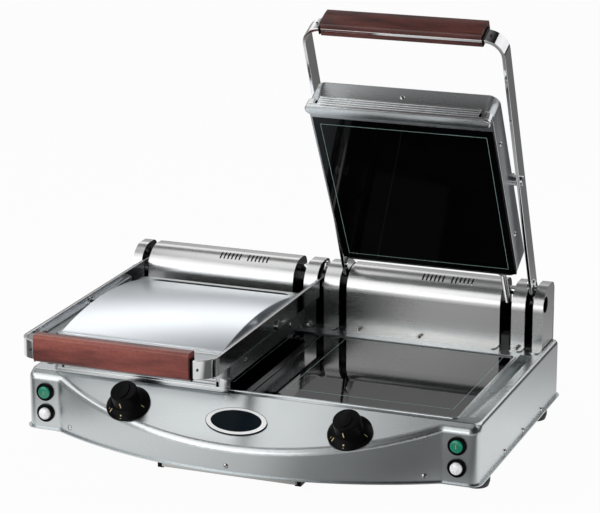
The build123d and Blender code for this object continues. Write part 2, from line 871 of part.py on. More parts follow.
left = -zone_offset
right = zone_offset
make_cover("cover_left_end", -housing_half, left - gap_far, [left - gap_far], [-housing_half])
make_cover("cover_left_main", left - gap_near, left + main_end, [left - gap_near, left + main_end], [],
           left + vent_offset)
make_cover("cover_left_band", left + band_start, left + gap_near,
           [left + band_start, left + gap_near], [left + gap_near])
make_cover("cover_centre", left + gap_far, right - gap_far, [left + gap_far, right - gap_far], [])
make_cover("cover_right_main", right - gap_near, right + main_end, [right - gap_near, right + main_end], [],
           right + vent_offset)
make_cover("cover_right_band", right + band_start, right + gap_near,
           [right + band_start, right + gap_near], [right + gap_near])
make_cover("cover_right_end", right + gap_far, housing_half, [right + gap_far], [housing_half])

with BuildPart() as rear_frame:
    with BuildSketch(Plane.YZ.offset(-frame_half)):
        with BuildLine():
            Polyline(
                (frame_front, hood_top),
                (frame_back, hood_top),
                (frame_back, hood_top + frame_height),
                (frame_back - frame_wall, hood_top + frame_height),
                (frame_back - frame_wall, hood_top + frame_wall),
                (frame_front, hood_top + frame_wall),
                close=True,
            )
        make_face()
    extrude(amount=2 * frame_half)
    for centre in (left, right):
        with BuildSketch(Plane.XY.offset(hood_top + frame_wall)):
            with Locations((centre + conduit_offset, frame_front + clamp_depth / 2)):
                RectangleRounded(conduit_gap - 2 * clamp_side_gap, clamp_depth, clamp_corner)
        extrude(amount=clamp_height)
save(rear_frame, "rear_frame")

# Plain bushes pressed into the cheeks, a hinge shaft and a balance spring for each lid
with BuildPart() as hinge_bushes:
    for centre in (left, right):
        for face, turn in (
            (-gap_far, -1), (-gap_near, 1), (main_end, -1), (band_start, 1), (gap_near, -1), (gap_far, 1)
        ):
            with BuildSketch(Plane.YZ.offset(centre + face)):
                with Locations((hinge_y, hinge_z)):
                    Circle(bush_diameter / 2)
                    Circle(shaft_diameter / 2 + running_clearance, mode=Mode.SUBTRACT)
            extrude(amount=turn * bush_length)
save(hinge_bushes, "hinge_bushes")

shaft_reach = gap_far + shaft_end_in_bush
for side, sign in sides.items():
    with BuildPart() as hinge_shaft:
        with BuildSketch(Plane.YZ.offset(sign * zone_offset)):
            with Locations((hinge_y, hinge_z)):
                Circle(shaft_diameter / 2)
        extrude(amount=shaft_reach, both=True)
        chamfer(hinge_shaft.edges().filter_by(GeomType.CIRCLE), shaft_chamfer)
    save_with_bar(hinge_shaft, side, "hinge_shaft")
    with BuildPart() as lid_spring:
        coil_radius = shaft_diameter / 2 + spring_wire / 2 + part_gap
        with BuildLine() as turns:
            Helix(
                spring_pitch,
                spring_pitch * spring_turns,
                coil_radius,
                center=(sign * zone_offset - spring_pitch * spring_turns / 2, hinge_y, hinge_z),
                direction=(1, 0, 0),
            )
        with BuildSketch(Plane(origin=turns.line @ 0, z_dir=turns.line % 0)) as wire:
            Circle(spring_wire / 2)
        sweep(wire.sketch, path=turns.line, is_frenet=True)
    save(lid_spring, f"lid_spring_{side}")

# Lids: everything that rides on a bar or on its plate, built closed and turned to rest
lever_centre = lever_outer - lever_thickness / 2
bar_outer = bar_offset + bar_thickness / 2
bar_rear = housing_front + bar_rear_past_front
lid_depth = lid_rear - lid_front
lid_centre_y = (lid_front + lid_rear) / 2
lid_side_places = [(sign, y) for sign in sides.values() for y in lid_screw_y]


def lid_outline(x, inset):
    """Flat outline of a lid plate, shrunk by inset."""
    with BuildSketch() as outline:
        with Locations((x, lid_centre_y)):
            RectangleRounded(lid_width - 2 * inset, lid_depth - 2 * inset, lid_corner - inset)
    return outline.sketch


def make_bar(x, side):
    """Flat bar bent round the front of a lid, with two arms back to the hinge."""
    with BuildPart() as lid_bar:
        with BuildSketch(Plane.XY.offset(bar_bottom)):
            with Locations((x, (bar_front + bar_rear) / 2)):
                Rectangle(2 * bar_outer, bar_rear - bar_front)
        extrude(amount=bar_height)
        outer_corners = lid_bar.edges().filter_by(Axis.Z).sort_by(Axis.Y)[:2]
        fillet(outer_corners, bar_bend_radius)
        with BuildSketch(Plane.XY.offset(bar_bottom)) as inside:
            with Locations((x, (bar_front + bar_rear) / 2 + bar_thickness)):
                Rectangle(2 * lever_outer, bar_rear - bar_front)
            inner_corners = inside.vertices().sort_by(Axis.Y)[:2]
            fillet(inner_corners, bar_bend_radius - bar_thickness)
        extrude(amount=bar_height, mode=Mode.SUBTRACT)
        tail_edges = lid_bar.edges().filter_by(Axis.X).sort_by(Axis.Y)[-4:]
        fillet(tail_edges, bar_tail_radius)
        bore(side_on(x + 2 * bar_outer, pivot_y, pivot_z), pivot_pin_diameter + 2 * running_clearance,
             4 * bar_outer)
        for y, z in rivet_places:
            bore(side_on(x + 2 * bar_outer, y, z), rivet_diameter + 2 * running_clearance, 4 * bar_outer)
        long_edges = lid_bar.faces().sort_by(Axis.Z)[-1].edges() + lid_bar.faces().sort_by(Axis.Z)[0].edges()
        fillet(long_edges, bar_edge_radius)
    save_with_bar(lid_bar, side, "lid_bar")


def make_levers(x, side):
    """Two hinge levers on the shaft, riveted to the inner faces of the bar arms."""
    with BuildPart() as levers:
        for sign in sides.values():
            with BuildSketch(Plane.YZ.offset(x + sign * lever_centre)) as plate:
                with Locations((hinge_y, hinge_z)):
                    Circle(lever_hub_diameter / 2)
                with Locations(rivet_places[0]):
                    Circle(lever_toe_diameter / 2)
                make_hull()
            extrude(plate.sketch, amount=lever_thickness / 2, both=True)
        bore(side_on(x + 2 * bar_outer, hinge_y, hinge_z), shaft_diameter + 2 * running_clearance,
             4 * bar_outer)
        for sign in sides.values():
            for y, z in rivet_places:
                face = Plane(origin=(x + sign * lever_outer, y, z), z_dir=(sign, 0, 0))
                stud(face, rivet_diameter, bar_thickness)
                stud(face.offset(bar_thickness), rivet_head_diameter, rivet_head_height)
    save_with_bar(levers, side, "levers")


def make_grip(x, side):
    """Wooden grip, slotted from below over the front of the bar."""
    with BuildPart() as lid_grip:
        bottom = (bar_bottom + bar_top - grip_height) / 2 + grip_rise
        centre_y = bar_front + bar_thickness / 2
        with BuildSketch(Plane.YZ.offset(x - grip_length / 2)) as section:
            with BuildLine():
                front = centre_y - grip_thickness / 2
                back = centre_y + grip_thickness / 2
                top = bottom + grip_height
                Polyline((front, top), (back, top), (back, bottom), (front, bottom))
                ThreePointArc((front, bottom), (front - grip_bulge, (top + bottom) / 2), (front, top))
            make_face()
            fillet(section.vertices(), grip_edge_radius)
        extrude(amount=grip_length)
        with BuildSketch(Plane.XY.offset(bottom)):
            with Locations((x, centre_y)):
                Rectangle(grip_length, bar_thickness + 2 * running_clearance)
        extrude(amount=bar_top + running_clearance - bottom, mode=Mode.SUBTRACT)
    save_with_bar(lid_grip, side, "lid_grip")


def make_body(x, side):
    """Pressed lid plate with its glass step, front pad and pivot ears."""
    with BuildPart() as lid_body:
        with BuildSketch(Plane.XY.offset(lid_glass_level)):
            add(lid_outline(x, 0.0))
        extrude(amount=lid_height)
        fillet(lid_body.faces().sort_by(Axis.Z)[-1].edges(), lid_edge_radius)
        fillet(lid_body.faces().sort_by(Axis.Z)[0].edges(), lid_lower_radius)
        with BuildSketch(Plane.XY.offset(lid_glass_level + lid_wall)):
            add(lid_outline(x, lid_wall))
        extrude(amount=lid_height - 2 * lid_wall, mode=Mode.SUBTRACT)
        # Step that the glass sits against
        with BuildSketch(Plane.XY.offset(lid_glass_level + glass_thickness)):
            add(lid_outline(x, lid_wall))
        extrude(amount=lid_wall)
        with BuildSketch(Plane.XY.offset(lid_glass_level)):
            with Locations((x, lid_glass_y)):
                Rectangle(lid_glass_width, lid_glass_depth)
        extrude(amount=glass_thickness, mode=Mode.SUBTRACT)
        with BuildSketch(Plane.XY.offset(lid_glass_level + glass_thickness)):
            with Locations((x, lid_glass_y)):
                Rectangle(lid_glass_width - 2 * ledge_width, lid_glass_depth - 2 * ledge_width)
        extrude(amount=lid_wall, mode=Mode.SUBTRACT)
        # Mouth under the crowned cover
        with BuildSketch(Plane.XY.offset(lid_top - lid_wall)):
            with Locations((x, lid_centre_y)):
                RectangleRounded(
                    cover_width - 2 * lid_mouth_margin, lid_depth - 2 * lid_mouth_margin, lid_corner
                )
        extrude(amount=lid_wall, mode=Mode.SUBTRACT)
        # Hollow pad along the front, with a ribbed band between two relief slots
        pad_y = lid_front + bumper_depth / 2
        with BuildSketch(Plane.XY.offset(lid_glass_level - bumper_height)):
            with Locations((x, pad_y)):
                SlotOverall(lid_width - 2 * pad_end_gap, bumper_depth)
        extrude(amount=bumper_height + lid_wall)
        fillet(lid_body.faces().sort_by(Axis.Z)[0].edges(), pad_edge_radius)
        with BuildSketch(Plane.XY.offset(lid_glass_level - bumper_height + lid_wall)):
            with Locations((x, pad_y)):
                SlotOverall(lid_width - 2 * (pad_end_gap + lid_wall), bumper_depth - 2 * lid_wall)
        extrude(amount=bumper_height + 1, mode=Mode.SUBTRACT)
        for level in pad_groove_levels:
            with BuildSketch(Plane.XZ.offset(-lid_front + 1)) as groove:
                with Locations((x, lid_glass_level - level)):
                    SlotOverall(lid_width - 2 * pad_groove_end, pad_groove_width)
            extrude(groove.sketch, amount=-1 - pad_groove_depth, mode=Mode.SUBTRACT)
        relief_x = lid_width / 2 - pad_relief_end
        with BuildSketch(Plane.XZ.offset(-lid_front)) as reliefs:
            with Locations((x - relief_x, pad_relief_z), (x + relief_x, pad_relief_z)):
                SlotOverall(pad_relief_height, pad_relief_width, rotation=90)
        extrude(reliefs.sketch, amount=-2 * lid_wall, mode=Mode.SUBTRACT)
        # Ears that stand behind the arms and take the pivot pins
        for sign in sides.values():
            ear = Plane(origin=(x + sign * lid_width / 2, pivot_y, pivot_z), z_dir=(sign, 0, 0))
            stud(ear.offset(-ear_thickness), ear_diameter, ear_thickness)
            bore(ear, pivot_pin_diameter + 2 * running_clearance, ear_thickness)
        for place in lid_screw_places(x):
            bore(place, screw_shank_diameter, screw_shank_length)
        bore(Plane(origin=(x + conduit_offset, lid_rear + 1, conduit_z), z_dir=(0, 1, 0)),
             conduit_diameter + 2 * running_clearance, lid_wall + 2)
    save_with_plate(lid_body, side, "lid_body")


def lid_screw_places(x):
    """Planes of the lid's screws: two on each side wall and one on the front wall."""
    places = [Plane(origin=(x, lid_front, lid_front_screw_z), z_dir=(0, -1, 0))]
    for sign, y in lid_side_places:
        places.append(Plane(origin=(x + sign * lid_width / 2, y, lid_side_screw_z), z_dir=(sign, 0, 0)))
    return places


def cover_form(x, inset):
    """Crowned cover as a solid, shrunk by inset on every face but its open bottom."""
    half = cover_width / 2 - inset
    edge = lid_top + cover_edge - inset
    crown = edge + cover_crown
    far = lid_rear - 1 - inset
    with BuildPart() as form:
        with BuildSketch(Plane.XZ.offset(-lid_front)):
            with BuildLine():
                Polyline((x - half, edge), (x - half, lid_top), (x + half, lid_top), (x + half, edge))
                ThreePointArc((x + half, edge), (x, crown), (x - half, edge))
            make_face()
        extrude(amount=-(lid_depth - 1 - inset))
        # The back rolls down to a narrow shelf
        with BuildSketch(Plane.YZ.offset(x - half)):
            with BuildLine():
                roll_start = far - cover_roll
                ThreePointArc(
                    (roll_start, crown + 1),
                    (roll_start + cover_roll * 0.6, crown - cover_crown * 0.35),
                    (far, lid_top + cover_edge - inset),
                )
                Polyline(
                    (far, lid_top + cover_edge - inset),
                    (far + 5, lid_top + cover_edge - inset),
                    (far + 5, crown + 1),
                    (roll_start, crown + 1),
                )
            make_face()
        extrude(amount=2 * half, mode=Mode.SUBTRACT)
        front_cut = inset
        if front_cut:
            with BuildSketch(Plane.XY.offset(lid_top)):
                with Locations((x, lid_front + front_cut / 2)):
                    Rectangle(2 * half, front_cut)
            extrude(amount=2 * cover_crown, mode=Mode.SUBTRACT)
    return form.part


def make_cover_plate(x, side):
    """Thin crowned cover that closes the top of a lid."""
    with BuildPart() as lid_cover:
        add(cover_form(x, 0.0))
        upper = lid_cover.edges().filter_by(lambda e: e.center().Z > lid_top + cover_edge + 0.5)
        fillet(upper, cover_edge_radius)
        add(cover_form(x, cover_wall), mode=Mode.SUBTRACT)
    save_with_plate(lid_cover, side, "lid_cover")


def make_lid_fittings(x, side):
    """Glass, heater, pins, screws and wiring conduit of a lid."""
    with BuildPart() as lid_glass:
        with BuildSketch(Plane.XY.offset(lid_glass_level)):
            with Locations((x, lid_glass_y)):
                Rectangle(lid_glass_width, lid_glass_depth)
        extrude(amount=glass_thickness)
        chamfer(lid_glass.faces().sort_by(Axis.Z)[0].edges(), glass_arris)
    save_with_plate(lid_glass, side, "lid_glass")
    width = lid_glass_width - 2 * heater_margin
    depth = lid_glass_depth - 2 * heater_margin
    mouth = lid_glass_level + glass_thickness
    with BuildPart() as lid_pan:
        heater_pan(x, lid_glass_y, width, depth, mouth, lid_pan_height)
    save_with_plate(lid_pan, side, "lid_pan")
    with BuildPart() as lid_coil:
        heater_coil(x, lid_glass_y, width, depth, mouth + lid_pan_height / 2, lid_terminal_length)
    save_with_plate(lid_coil, side, "lid_coil")
    with BuildPart() as pivot_pins:
        for sign in sides.values():
            wall = x + sign * lid_width / 2
            inside = Plane(origin=(wall - sign * ear_thickness, pivot_y, pivot_z), z_dir=(sign, 0, 0))
            outside = Plane(origin=(wall, pivot_y, pivot_z), z_dir=(sign, 0, 0))
            head = Plane(origin=(x + sign * (bar_outer + part_gap), pivot_y, pivot_z), z_dir=(sign, 0, 0))
            stud(inside, pivot_pin_diameter, bar_outer + part_gap - lid_width / 2 + ear_thickness)
            stud(outside, pivot_collar_diameter, lever_outer - part_gap - lid_width / 2)
            stud(head, pivot_head_diameter, pivot_head_height)
        rims = pivot_pins.edges().filter_by(
            lambda e: abs(abs(e.center().X - x) - bar_outer - part_gap - pivot_head_height) < 0.01
        )
        fillet(rims, pivot_head_radius)
    save_with_plate(pivot_pins, side, "pivot_pins")
    with BuildPart() as lid_screws:
        for place in lid_screw_places(x):
            add(place.location * domed_screw)
    save_with_plate(lid_screws, side, "lid_screws")
    with BuildPart() as conduit:
        rear = Plane(origin=(x + conduit_offset, lid_rear, conduit_z), z_dir=(0, 1, 0))
        stud(rear.offset(-lid_wall), conduit_diameter, conduit_reach + lid_wall)
        stud(rear, conduit_nut_diameter, conduit_nut_height)
        bore(rear.offset(conduit_reach), conduit_diameter - 2 * conduit_wall, conduit_reach + lid_wall)
    save_with_plate(conduit, side, "conduit")


for side, sign in sides.items():
    lid_x = sign * zone_offset
    make_bar(lid_x, side)
    make_levers(lid_x, side)
    make_grip(lid_x, side)
    make_body(lid_x, side)
    make_cover_plate(lid_x, side)
    make_lid_fittings(lid_x, side)

# Controls on the sloping face: a thermostat, its spindle and a knob for each zone
with BuildPart() as thermostats:
    for sign in sides.values():
        face = slope_plane(sign * knob_offset, knob_along_slope)
        neck = face.offset(-hood_wall - part_gap)
        stud(neck.offset(-thermostat_depth), thermostat_diameter, thermostat_depth)
        stud(neck, thermostat_neck_diameter - 2 * running_clearance, hood_wall + part_gap)
        bore(face.offset(1), spindle_diameter + 2 * running_clearance, spindle_depth + 1)
save(thermostats, "thermostats")

# Knob body, turned once: a thin skirt that sweeps up into a straight cap
with BuildSketch(Plane.XZ) as knob_profile:
    with BuildLine():
        Polyline(
            (0, 0),
            (knob_skirt_diameter / 2, 0),
            (knob_skirt_diameter / 2, knob_rim),
            (knob_cap_diameter / 2 + knob_flare, knob_rim + knob_skirt_rise),
        )
        ThreePointArc(
            (knob_cap_diameter / 2 + knob_flare, knob_rim + knob_skirt_rise),
            (knob_cap_diameter / 2 + knob_flare / 4, knob_rim + knob_skirt_rise + knob_flare_height / 3),
            (knob_cap_diameter / 2, knob_rim + knob_skirt_rise + knob_flare_height),
        )
        Polyline(
            (knob_cap_diameter / 2, knob_rim + knob_skirt_rise + knob_flare_height),
            (knob_cap_diameter / 2 - knob_cap_taper, knob_height - knob_ridge_rise),
            (0, knob_height - knob_ridge_rise),
            (0, 0),
        )
    make_face()
knob_blank = revolve(knob_profile.sketch, axis=Axis.Z)

for side, sign in sides.items():
    face = slope_plane(sign * knob_offset, knob_along_slope)
    with BuildPart() as spindle:
        stud(face.offset(-spindle_depth + 1), spindle_diameter, spindle_depth - 1 + spindle_stand)
        with BuildSketch(face.offset(knob_gap + spindle_flat_start)) as flat_cut:
            with Locations((0, spindle_flat + spindle_diameter / 2)):
                Rectangle(spindle_diameter, spindle_diameter)
        extrude(flat_cut.sketch, amount=spindle_stand, mode=Mode.SUBTRACT)
    save(spindle, f"spindle_{side}")
    with BuildPart() as knob:
        add(face.offset(knob_gap).location * knob_blank)
        top_rim = knob.edges().filter_by(GeomType.CIRCLE).filter_by(
            lambda e: abs(e.radius - knob_cap_diameter / 2 + knob_cap_taper) < 0.01
        )
        fillet(top_rim, knob_cap_radius)
        with BuildSketch(face.offset(knob_gap + knob_height - knob_ridge_rise)) as ridge:
            Ellipse(knob_ridge_width / 2, knob_ridge_length / 2)
        extrude(ridge.sketch, amount=knob_ridge_rise)
        bore(face.offset(spindle_stand + part_gap), spindle_diameter + 2 * running_clearance, spindle_stand)
        with BuildSketch(face.offset(knob_gap + spindle_flat_start)) as flat_key:
            with Locations((0, spindle_flat + running_clearance + spindle_diameter / 2)):
                Rectangle(spindle_key_width, spindle_diameter)
        extrude(flat_key.sketch, amount=spindle_stand - knob_gap - spindle_flat_start + part_gap)
    save(knob, f"knob_{side}")

with BuildPart() as badge:
    with BuildSketch(slope_plane(0, badge_along_slope)) as oval:
        Ellipse(badge_length / 2, badge_width / 2)
    extrude(oval.sketch, amount=badge_thickness)
    top_edge = badge.faces().sort_by(Axis.Z)[-1].edges()
    fillet(top_edge, badge_thickness / 2)
save(badge, "badge")

# Push buttons and signal lamps on the front panels
with BuildPart() as switch_housings:
    for sign in sides.values():
        for height in (switch_height, lamp_height):
            face = Plane(origin=(sign * switch_offset, panel_face, height), z_dir=(0, -1, 0))
            stud(face, bezel_diameter, bezel_height)
            stud(face.offset(-switch_depth), switch_barrel_diameter - 2 * running_clearance, switch_depth)
            bore(face.offset(bezel_height), button_diameter + 2 * part_gap,
                 bezel_height + button_travel + button_depth)
    rims = switch_housings.edges().filter_by(GeomType.CIRCLE).filter_by(
        lambda e: abs(e.center().Y - panel_face + bezel_height) < 0.01 and e.radius > button_diameter / 2 + 1
    )
    fillet(rims, bezel_edge_radius)
save(switch_housings, "switch_housings")

for side, sign in sides.items():
    face = Plane(origin=(sign * switch_offset, panel_face - bezel_height, switch_height), z_dir=(0, -1, 0))
    with BuildPart() as button:
        stud(face.offset(-button_depth), button_diameter, button_depth + button_stand)
        fillet(button.faces().sort_by(Axis.Y)[0].edges(), button_edge_radius)
    save(button, f"button_{side}")

with BuildPart() as lamps:
    for sign in sides.values():
        face = Plane(origin=(sign * switch_offset, panel_face - bezel_height, lamp_height), z_dir=(0, -1, 0))
        stud(face.offset(-button_depth), lamp_diameter, button_depth + button_stand)
    domes = lamps.edges().filter_by(GeomType.CIRCLE).filter_by(
        lambda e: e.center().Y < panel_face - bezel_height - button_stand + 0.1
    )
    fillet(domes, lamp_dome)
save(lamps, "lamps")

# Gland that the supply cord comes in through
with BuildPart() as cord_gland:
    face = Plane(origin=(gland_x, base_rear, gland_height), z_dir=(0, 1, 0))
    stud(face.offset(-gland_inside), gland_diameter - 2 * running_clearance, gland_inside)
    stud(face, gland_collar_diameter, gland_collar_height)
    stud(face, gland_diameter, gland_outside)
    bore(face.offset(gland_outside), gland_bore, gland_outside + gland_inside)
    mouth_edges = cord_gland.faces().sort_by(Axis.Y)[-1].edges()
    chamfer(mouth_edges, gland_chamfer)
save(cord_gland, "cord_gland")
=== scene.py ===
"""Looks of a double contact grill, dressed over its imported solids.

Every length is in metres: +X is the operator's right, -Y faces the operator, and +Z is up. Sizes
and places are given from the middle of the four feet on the worktop, and each finished piece moves
back by Layout.footprint_shift, because the solids are centred on their whole footprint.
"""

import json
import logging
from dataclasses import dataclass
from enum import Enum
from math import asin, atan2, cos, pi, radians, sin, tan

import bmesh
import bpy
from mathutils import Matrix, Vector


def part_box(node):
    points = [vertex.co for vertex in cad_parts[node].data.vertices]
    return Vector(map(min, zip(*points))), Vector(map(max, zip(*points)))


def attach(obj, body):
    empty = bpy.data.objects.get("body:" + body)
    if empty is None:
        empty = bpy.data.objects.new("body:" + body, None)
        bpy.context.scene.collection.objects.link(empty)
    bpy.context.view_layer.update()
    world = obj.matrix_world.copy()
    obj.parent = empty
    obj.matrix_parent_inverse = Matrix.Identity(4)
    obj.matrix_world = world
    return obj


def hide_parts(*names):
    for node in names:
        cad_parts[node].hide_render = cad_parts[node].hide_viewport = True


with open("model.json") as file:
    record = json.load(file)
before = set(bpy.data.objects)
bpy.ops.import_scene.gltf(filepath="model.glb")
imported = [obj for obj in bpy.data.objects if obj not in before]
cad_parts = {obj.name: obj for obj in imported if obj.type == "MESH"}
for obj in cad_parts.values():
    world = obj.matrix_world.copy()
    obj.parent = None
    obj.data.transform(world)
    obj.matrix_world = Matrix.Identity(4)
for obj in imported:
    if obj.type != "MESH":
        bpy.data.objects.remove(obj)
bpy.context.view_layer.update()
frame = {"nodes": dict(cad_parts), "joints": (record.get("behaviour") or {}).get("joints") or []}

LOG = logging.getLogger("contact_grill")

Colour = tuple[float, float, float]
Outline = list[tuple[float, float]]
Socket = bpy.types.NodeSocket
Value = Socket | float | tuple[float, ...]
Verts = list[bmesh.types.BMVert]


class Side(Enum):
    """The two cooking zones, by the sign of their place across the grill."""

    LEFT = -1
    RIGHT = 1

    @property
    def word(self) -> str:
        """Name of the side as it stands in node names."""
        return self.name.lower()


class Grain(Enum):
    """Direction in which a steel face is brushed."""

    ACROSS = "across"
    DEPTH = "depth"
    FOLDED = "folded"


def turned_about(centre: Vector, angle: float) -> Matrix:
    """Turn about an axis along X through a centre."""
    return Matrix.Translation(centre) @ Matrix.Rotation(angle, 4, "X") @ Matrix.Translation(-centre)


def linked(name: str, data: bpy.types.ID) -> bpy.types.Object:
    """Make an object and put it in the scene.

    Args:
        name: Name of the object.
        data: Its mesh, lamp or camera.

    Returns:
        The new object.
    """
    made = bpy.data.objects.new(name, data)
    bpy.context.scene.collection.objects.link(made)
    return made


@dataclass(frozen=True)
class Layout:
    """Places that the dressing shares with the solids, most of them read off the frame."""

    footprint_shift: float
    zone_offset: float
    hinge_y: float
    hinge_z: float
    pivot_y: float
    pivot_z: float
    open_angle: float
    open_tilt: float
    hood_top: float
    glass_top: float
    lid_glass_level: float
    lid_front: float
    lid_rear: float
    panel_face: float = -0.193
    panel_top: float = 0.094
    apron_bow: float = 0.064
    apron_half: float = 0.2595
    control_slope: float = 31.0
    base_half: float = 0.306

    @classmethod
    def from_frame(cls) -> "Layout":
        """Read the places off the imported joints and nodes.

        Returns:
            The layout.
        """
        feet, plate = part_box("feet"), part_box("lid_body_left")
        joints = {joint["name"]: joint for joint in frame["joints"]}
        hinge, pivot = joints["lid_hinge_left"]["pos_m"], joints["plate_tilt_left"]["pos_m"]
        shift = (feet[0][1] + feet[1][1]) / 2
        return cls(
            footprint_shift=shift,
            zone_offset=-hinge[0],
            hinge_y=hinge[1] - shift,
            hinge_z=hinge[2],
            pivot_y=pivot[1] - shift,
            pivot_z=pivot[2],
            open_angle=-joints["lid_hinge_right"]["range_deg"][0],
            open_tilt=joints["plate_tilt_right"]["range_deg"][1],
            hood_top=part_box("cover_centre")[0][2],
            glass_top=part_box("glass_lower_left")[1][2],
            lid_glass_level=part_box("lid_glass_left")[0][2],
            lid_front=plate[0][1] - shift,
            lid_rear=plate[1][1] - shift,
        )

    @property
    def apron_radius(self) -> float:
        """Radius of the bowed apron in plan."""
        return (self.apron_half**2 + self.apron_bow**2) / (2 * self.apron_bow)

    def middle(self, side: Side) -> float:
        """Place across the grill of a cooking zone's middle."""
        return side.value * self.zone_offset

    def slope_height(self, y: float) -> float:
        """Height of the control slope's surface at a depth."""
        return self.panel_top + tan(radians(self.control_slope)) * (y - self.panel_face)

    def on_slope(self, x: float, y: float, lift: float = 0.0) -> Matrix:
        """Frame on the control slope, or lifted off it: Z along its normal and Y up the slope."""
        spot = Matrix.Translation((x, y, self.slope_height(y)))
        return spot @ Matrix.Rotation(radians(self.control_slope), 4, "X") @ Matrix.Translation((0, 0, lift))

    def opening(self, side: Side) -> Matrix:
        """Turn that carries a closed lid's arms to rest."""
        angle = -radians(self.open_angle) if side is Side.RIGHT else 0.0
        return turned_about(Vector((0, self.hinge_y, self.hinge_z)), angle)

    def plate(self, side: Side) -> Matrix:
        """Turn that carries a closed lid's plate to rest."""
        angle = radians(self.open_tilt) if side is Side.RIGHT else 0.0
        return self.opening(side) @ turned_about(Vector((0, self.pivot_y, self.pivot_z)), angle)


LAYOUT = Layout.from_frame()


class Graph:
    """Small wrapper that adds and joins the shader nodes of a material or a world."""

    def __init__(self, owner: bpy.types.Material | bpy.types.World) -> None:
        """Start with an empty tree.

        Args:
            owner: The material or world that the nodes belong to.
        """
        owner.use_nodes = True
        self.tree = owner.node_tree
        self.tree.nodes.clear()

    def join(self, start: Value, end: Socket) -> None:
        """Link a socket to another, or give the other a plain value.

        Args:
            start: A socket, or a number, vector or colour.
            end: The input that takes it.
        """
        if isinstance(start, Socket):
            self.tree.links.new(start, end)
        elif end.type == "RGBA":
            end.default_value = (*start, 1.0)
        else:
            end.default_value = start

    def add(self, kind: str, inputs: dict[int | str, Value] | None = None,
            **attributes: str) -> bpy.types.Node:
        """Add a node.

        Args:
            kind: Blender's name of the node type.
            inputs: What its inputs take, by their number or name.
            attributes: The node's own attributes.

        Returns:
            The new node.
        """
        node = self.tree.nodes.new(kind)
        for name, value in attributes.items():
            setattr(node, name, value)
        for key, value in (inputs or {}).items():
            self.join(value, node.inputs[key])
        return node

    def place(self, scale: tuple[float, float, float] = (1, 1, 1), turn: float = 0.0) -> Socket:
        """Object coordinates through a mapping.

        Args:
            scale: Scale along each axis.
            turn: Turn about X, in radians, that lays a leaning plate flat first.

        Returns:
            The mapped vector.
        """
        where = self.add("ShaderNodeTexCoord").outputs["Object"]
        if turn:
            flat = self.add("ShaderNodeMapping", {"Vector": where, "Rotation": (turn, 0, 0)})
            where = flat.outputs["Vector"]
        return self.add("ShaderNodeMapping", {"Vector": where, "Scale": scale}).outputs["Vector"]

    def noise(self, vector: Socket, scale: float, detail: float, roughness: float = 0.6) -> Socket:
        """Noise at a vector, by its scale, its octaves of detail and the weight of the fine ones."""
        inputs = {"Vector": vector, "Scale": scale, "Detail": detail, "Roughness": roughness}
        return self.add("ShaderNodeTexNoise", inputs).outputs["Fac"]

    def ramp(self, value: Socket, stops: list[tuple[float, Colour]]) -> Socket:
        """Colour ramp over a value.

        Args:
            value: What drives the ramp.
            stops: Position and colour of each stop, in order.

        Returns:
            The colour.
        """
        node = self.add("ShaderNodeValToRGB", {"Fac": value})
        elements = node.color_ramp.elements
        while len(elements) < len(stops):
            elements.new(0.5)
        for element, (position, colour) in zip(elements, stops):
            element.position = position
            element.color = (*colour, 1.0)
        return node.outputs["Color"]

    def span(self, value: Socket, low: float, high: float, start: float = 0.0, end: float = 1.0) -> Socket:
        """Map a value that runs from start to end onto low to high."""
        ends = {"From Min": start, "From Max": end, "To Min": low, "To Max": high}
        return self.add("ShaderNodeMapRange", {"Value": value, **ends}).outputs["Result"]

    def blend(self, factor: Value, first: Value, second: Value) -> Socket:
        """Mix two numbers, with the factor as the weight of the second."""
        return self.add("ShaderNodeMix", {0: factor, 2: first, 3: second}, data_type="FLOAT").outputs[0]

    def tint(self, factor: Value, first: Value, second: Value, kind: str = "MIX") -> Socket:
        """Mix two colours, with the factor as the weight of the second."""
        inputs = {0: factor, 6: first, 7: second}
        return self.add("ShaderNodeMix", inputs, data_type="RGBA", blend_type=kind).outputs[2]

    def math(self, operation: str, *values: Value) -> Socket:
        """Work out a number from one or two others."""
        return self.add("ShaderNodeMath", dict(enumerate(values)), operation=operation).outputs["Value"]

    def part(self, vector: Socket, axis: str) -> Socket:
        """One component of a vector: X, Y or Z."""
        return self.add("ShaderNodeSeparateXYZ", {"Vector": vector}).outputs[axis]


class Surface(Graph):
    """Nodes of a material round one surface shader."""

    def __init__(self, name: str) -> None:
        """Start a material.

        Args:
            name: Name of the material.
        """
        self.material = bpy.data.materials.new(name)
        super().__init__(self.material)
        self.output = self.add("ShaderNodeOutputMaterial")
        self.shader = self.add("ShaderNodeBsdfPrincipled")
        self.join(self.shader.outputs["BSDF"], self.output.inputs["Surface"])

    def set(self, **inputs: Value) -> None:
        """Feed inputs of the surface shader, named with underscores for spaces."""
        for name, value in inputs.items():
            self.join(value, self.shader.inputs[name.replace("_", " ")])

    def sideways(self) -> Socket:
        """How far a face looks to either side, from zero to one."""
        normal = self.add("ShaderNodeNewGeometry").outputs["True Normal"]
        return self.math("ABSOLUTE", self.part(normal, "X"))

    def bump(self, height: Socket, distance: float, strength: float) -> None:
        """Raise the surface by a height that stands for a distance, shown with some strength."""
        inputs = {"Height": height, "Distance": distance, "Strength": strength}
        self.set(Normal=self.add("ShaderNodeBump", inputs).outputs["Normal"])


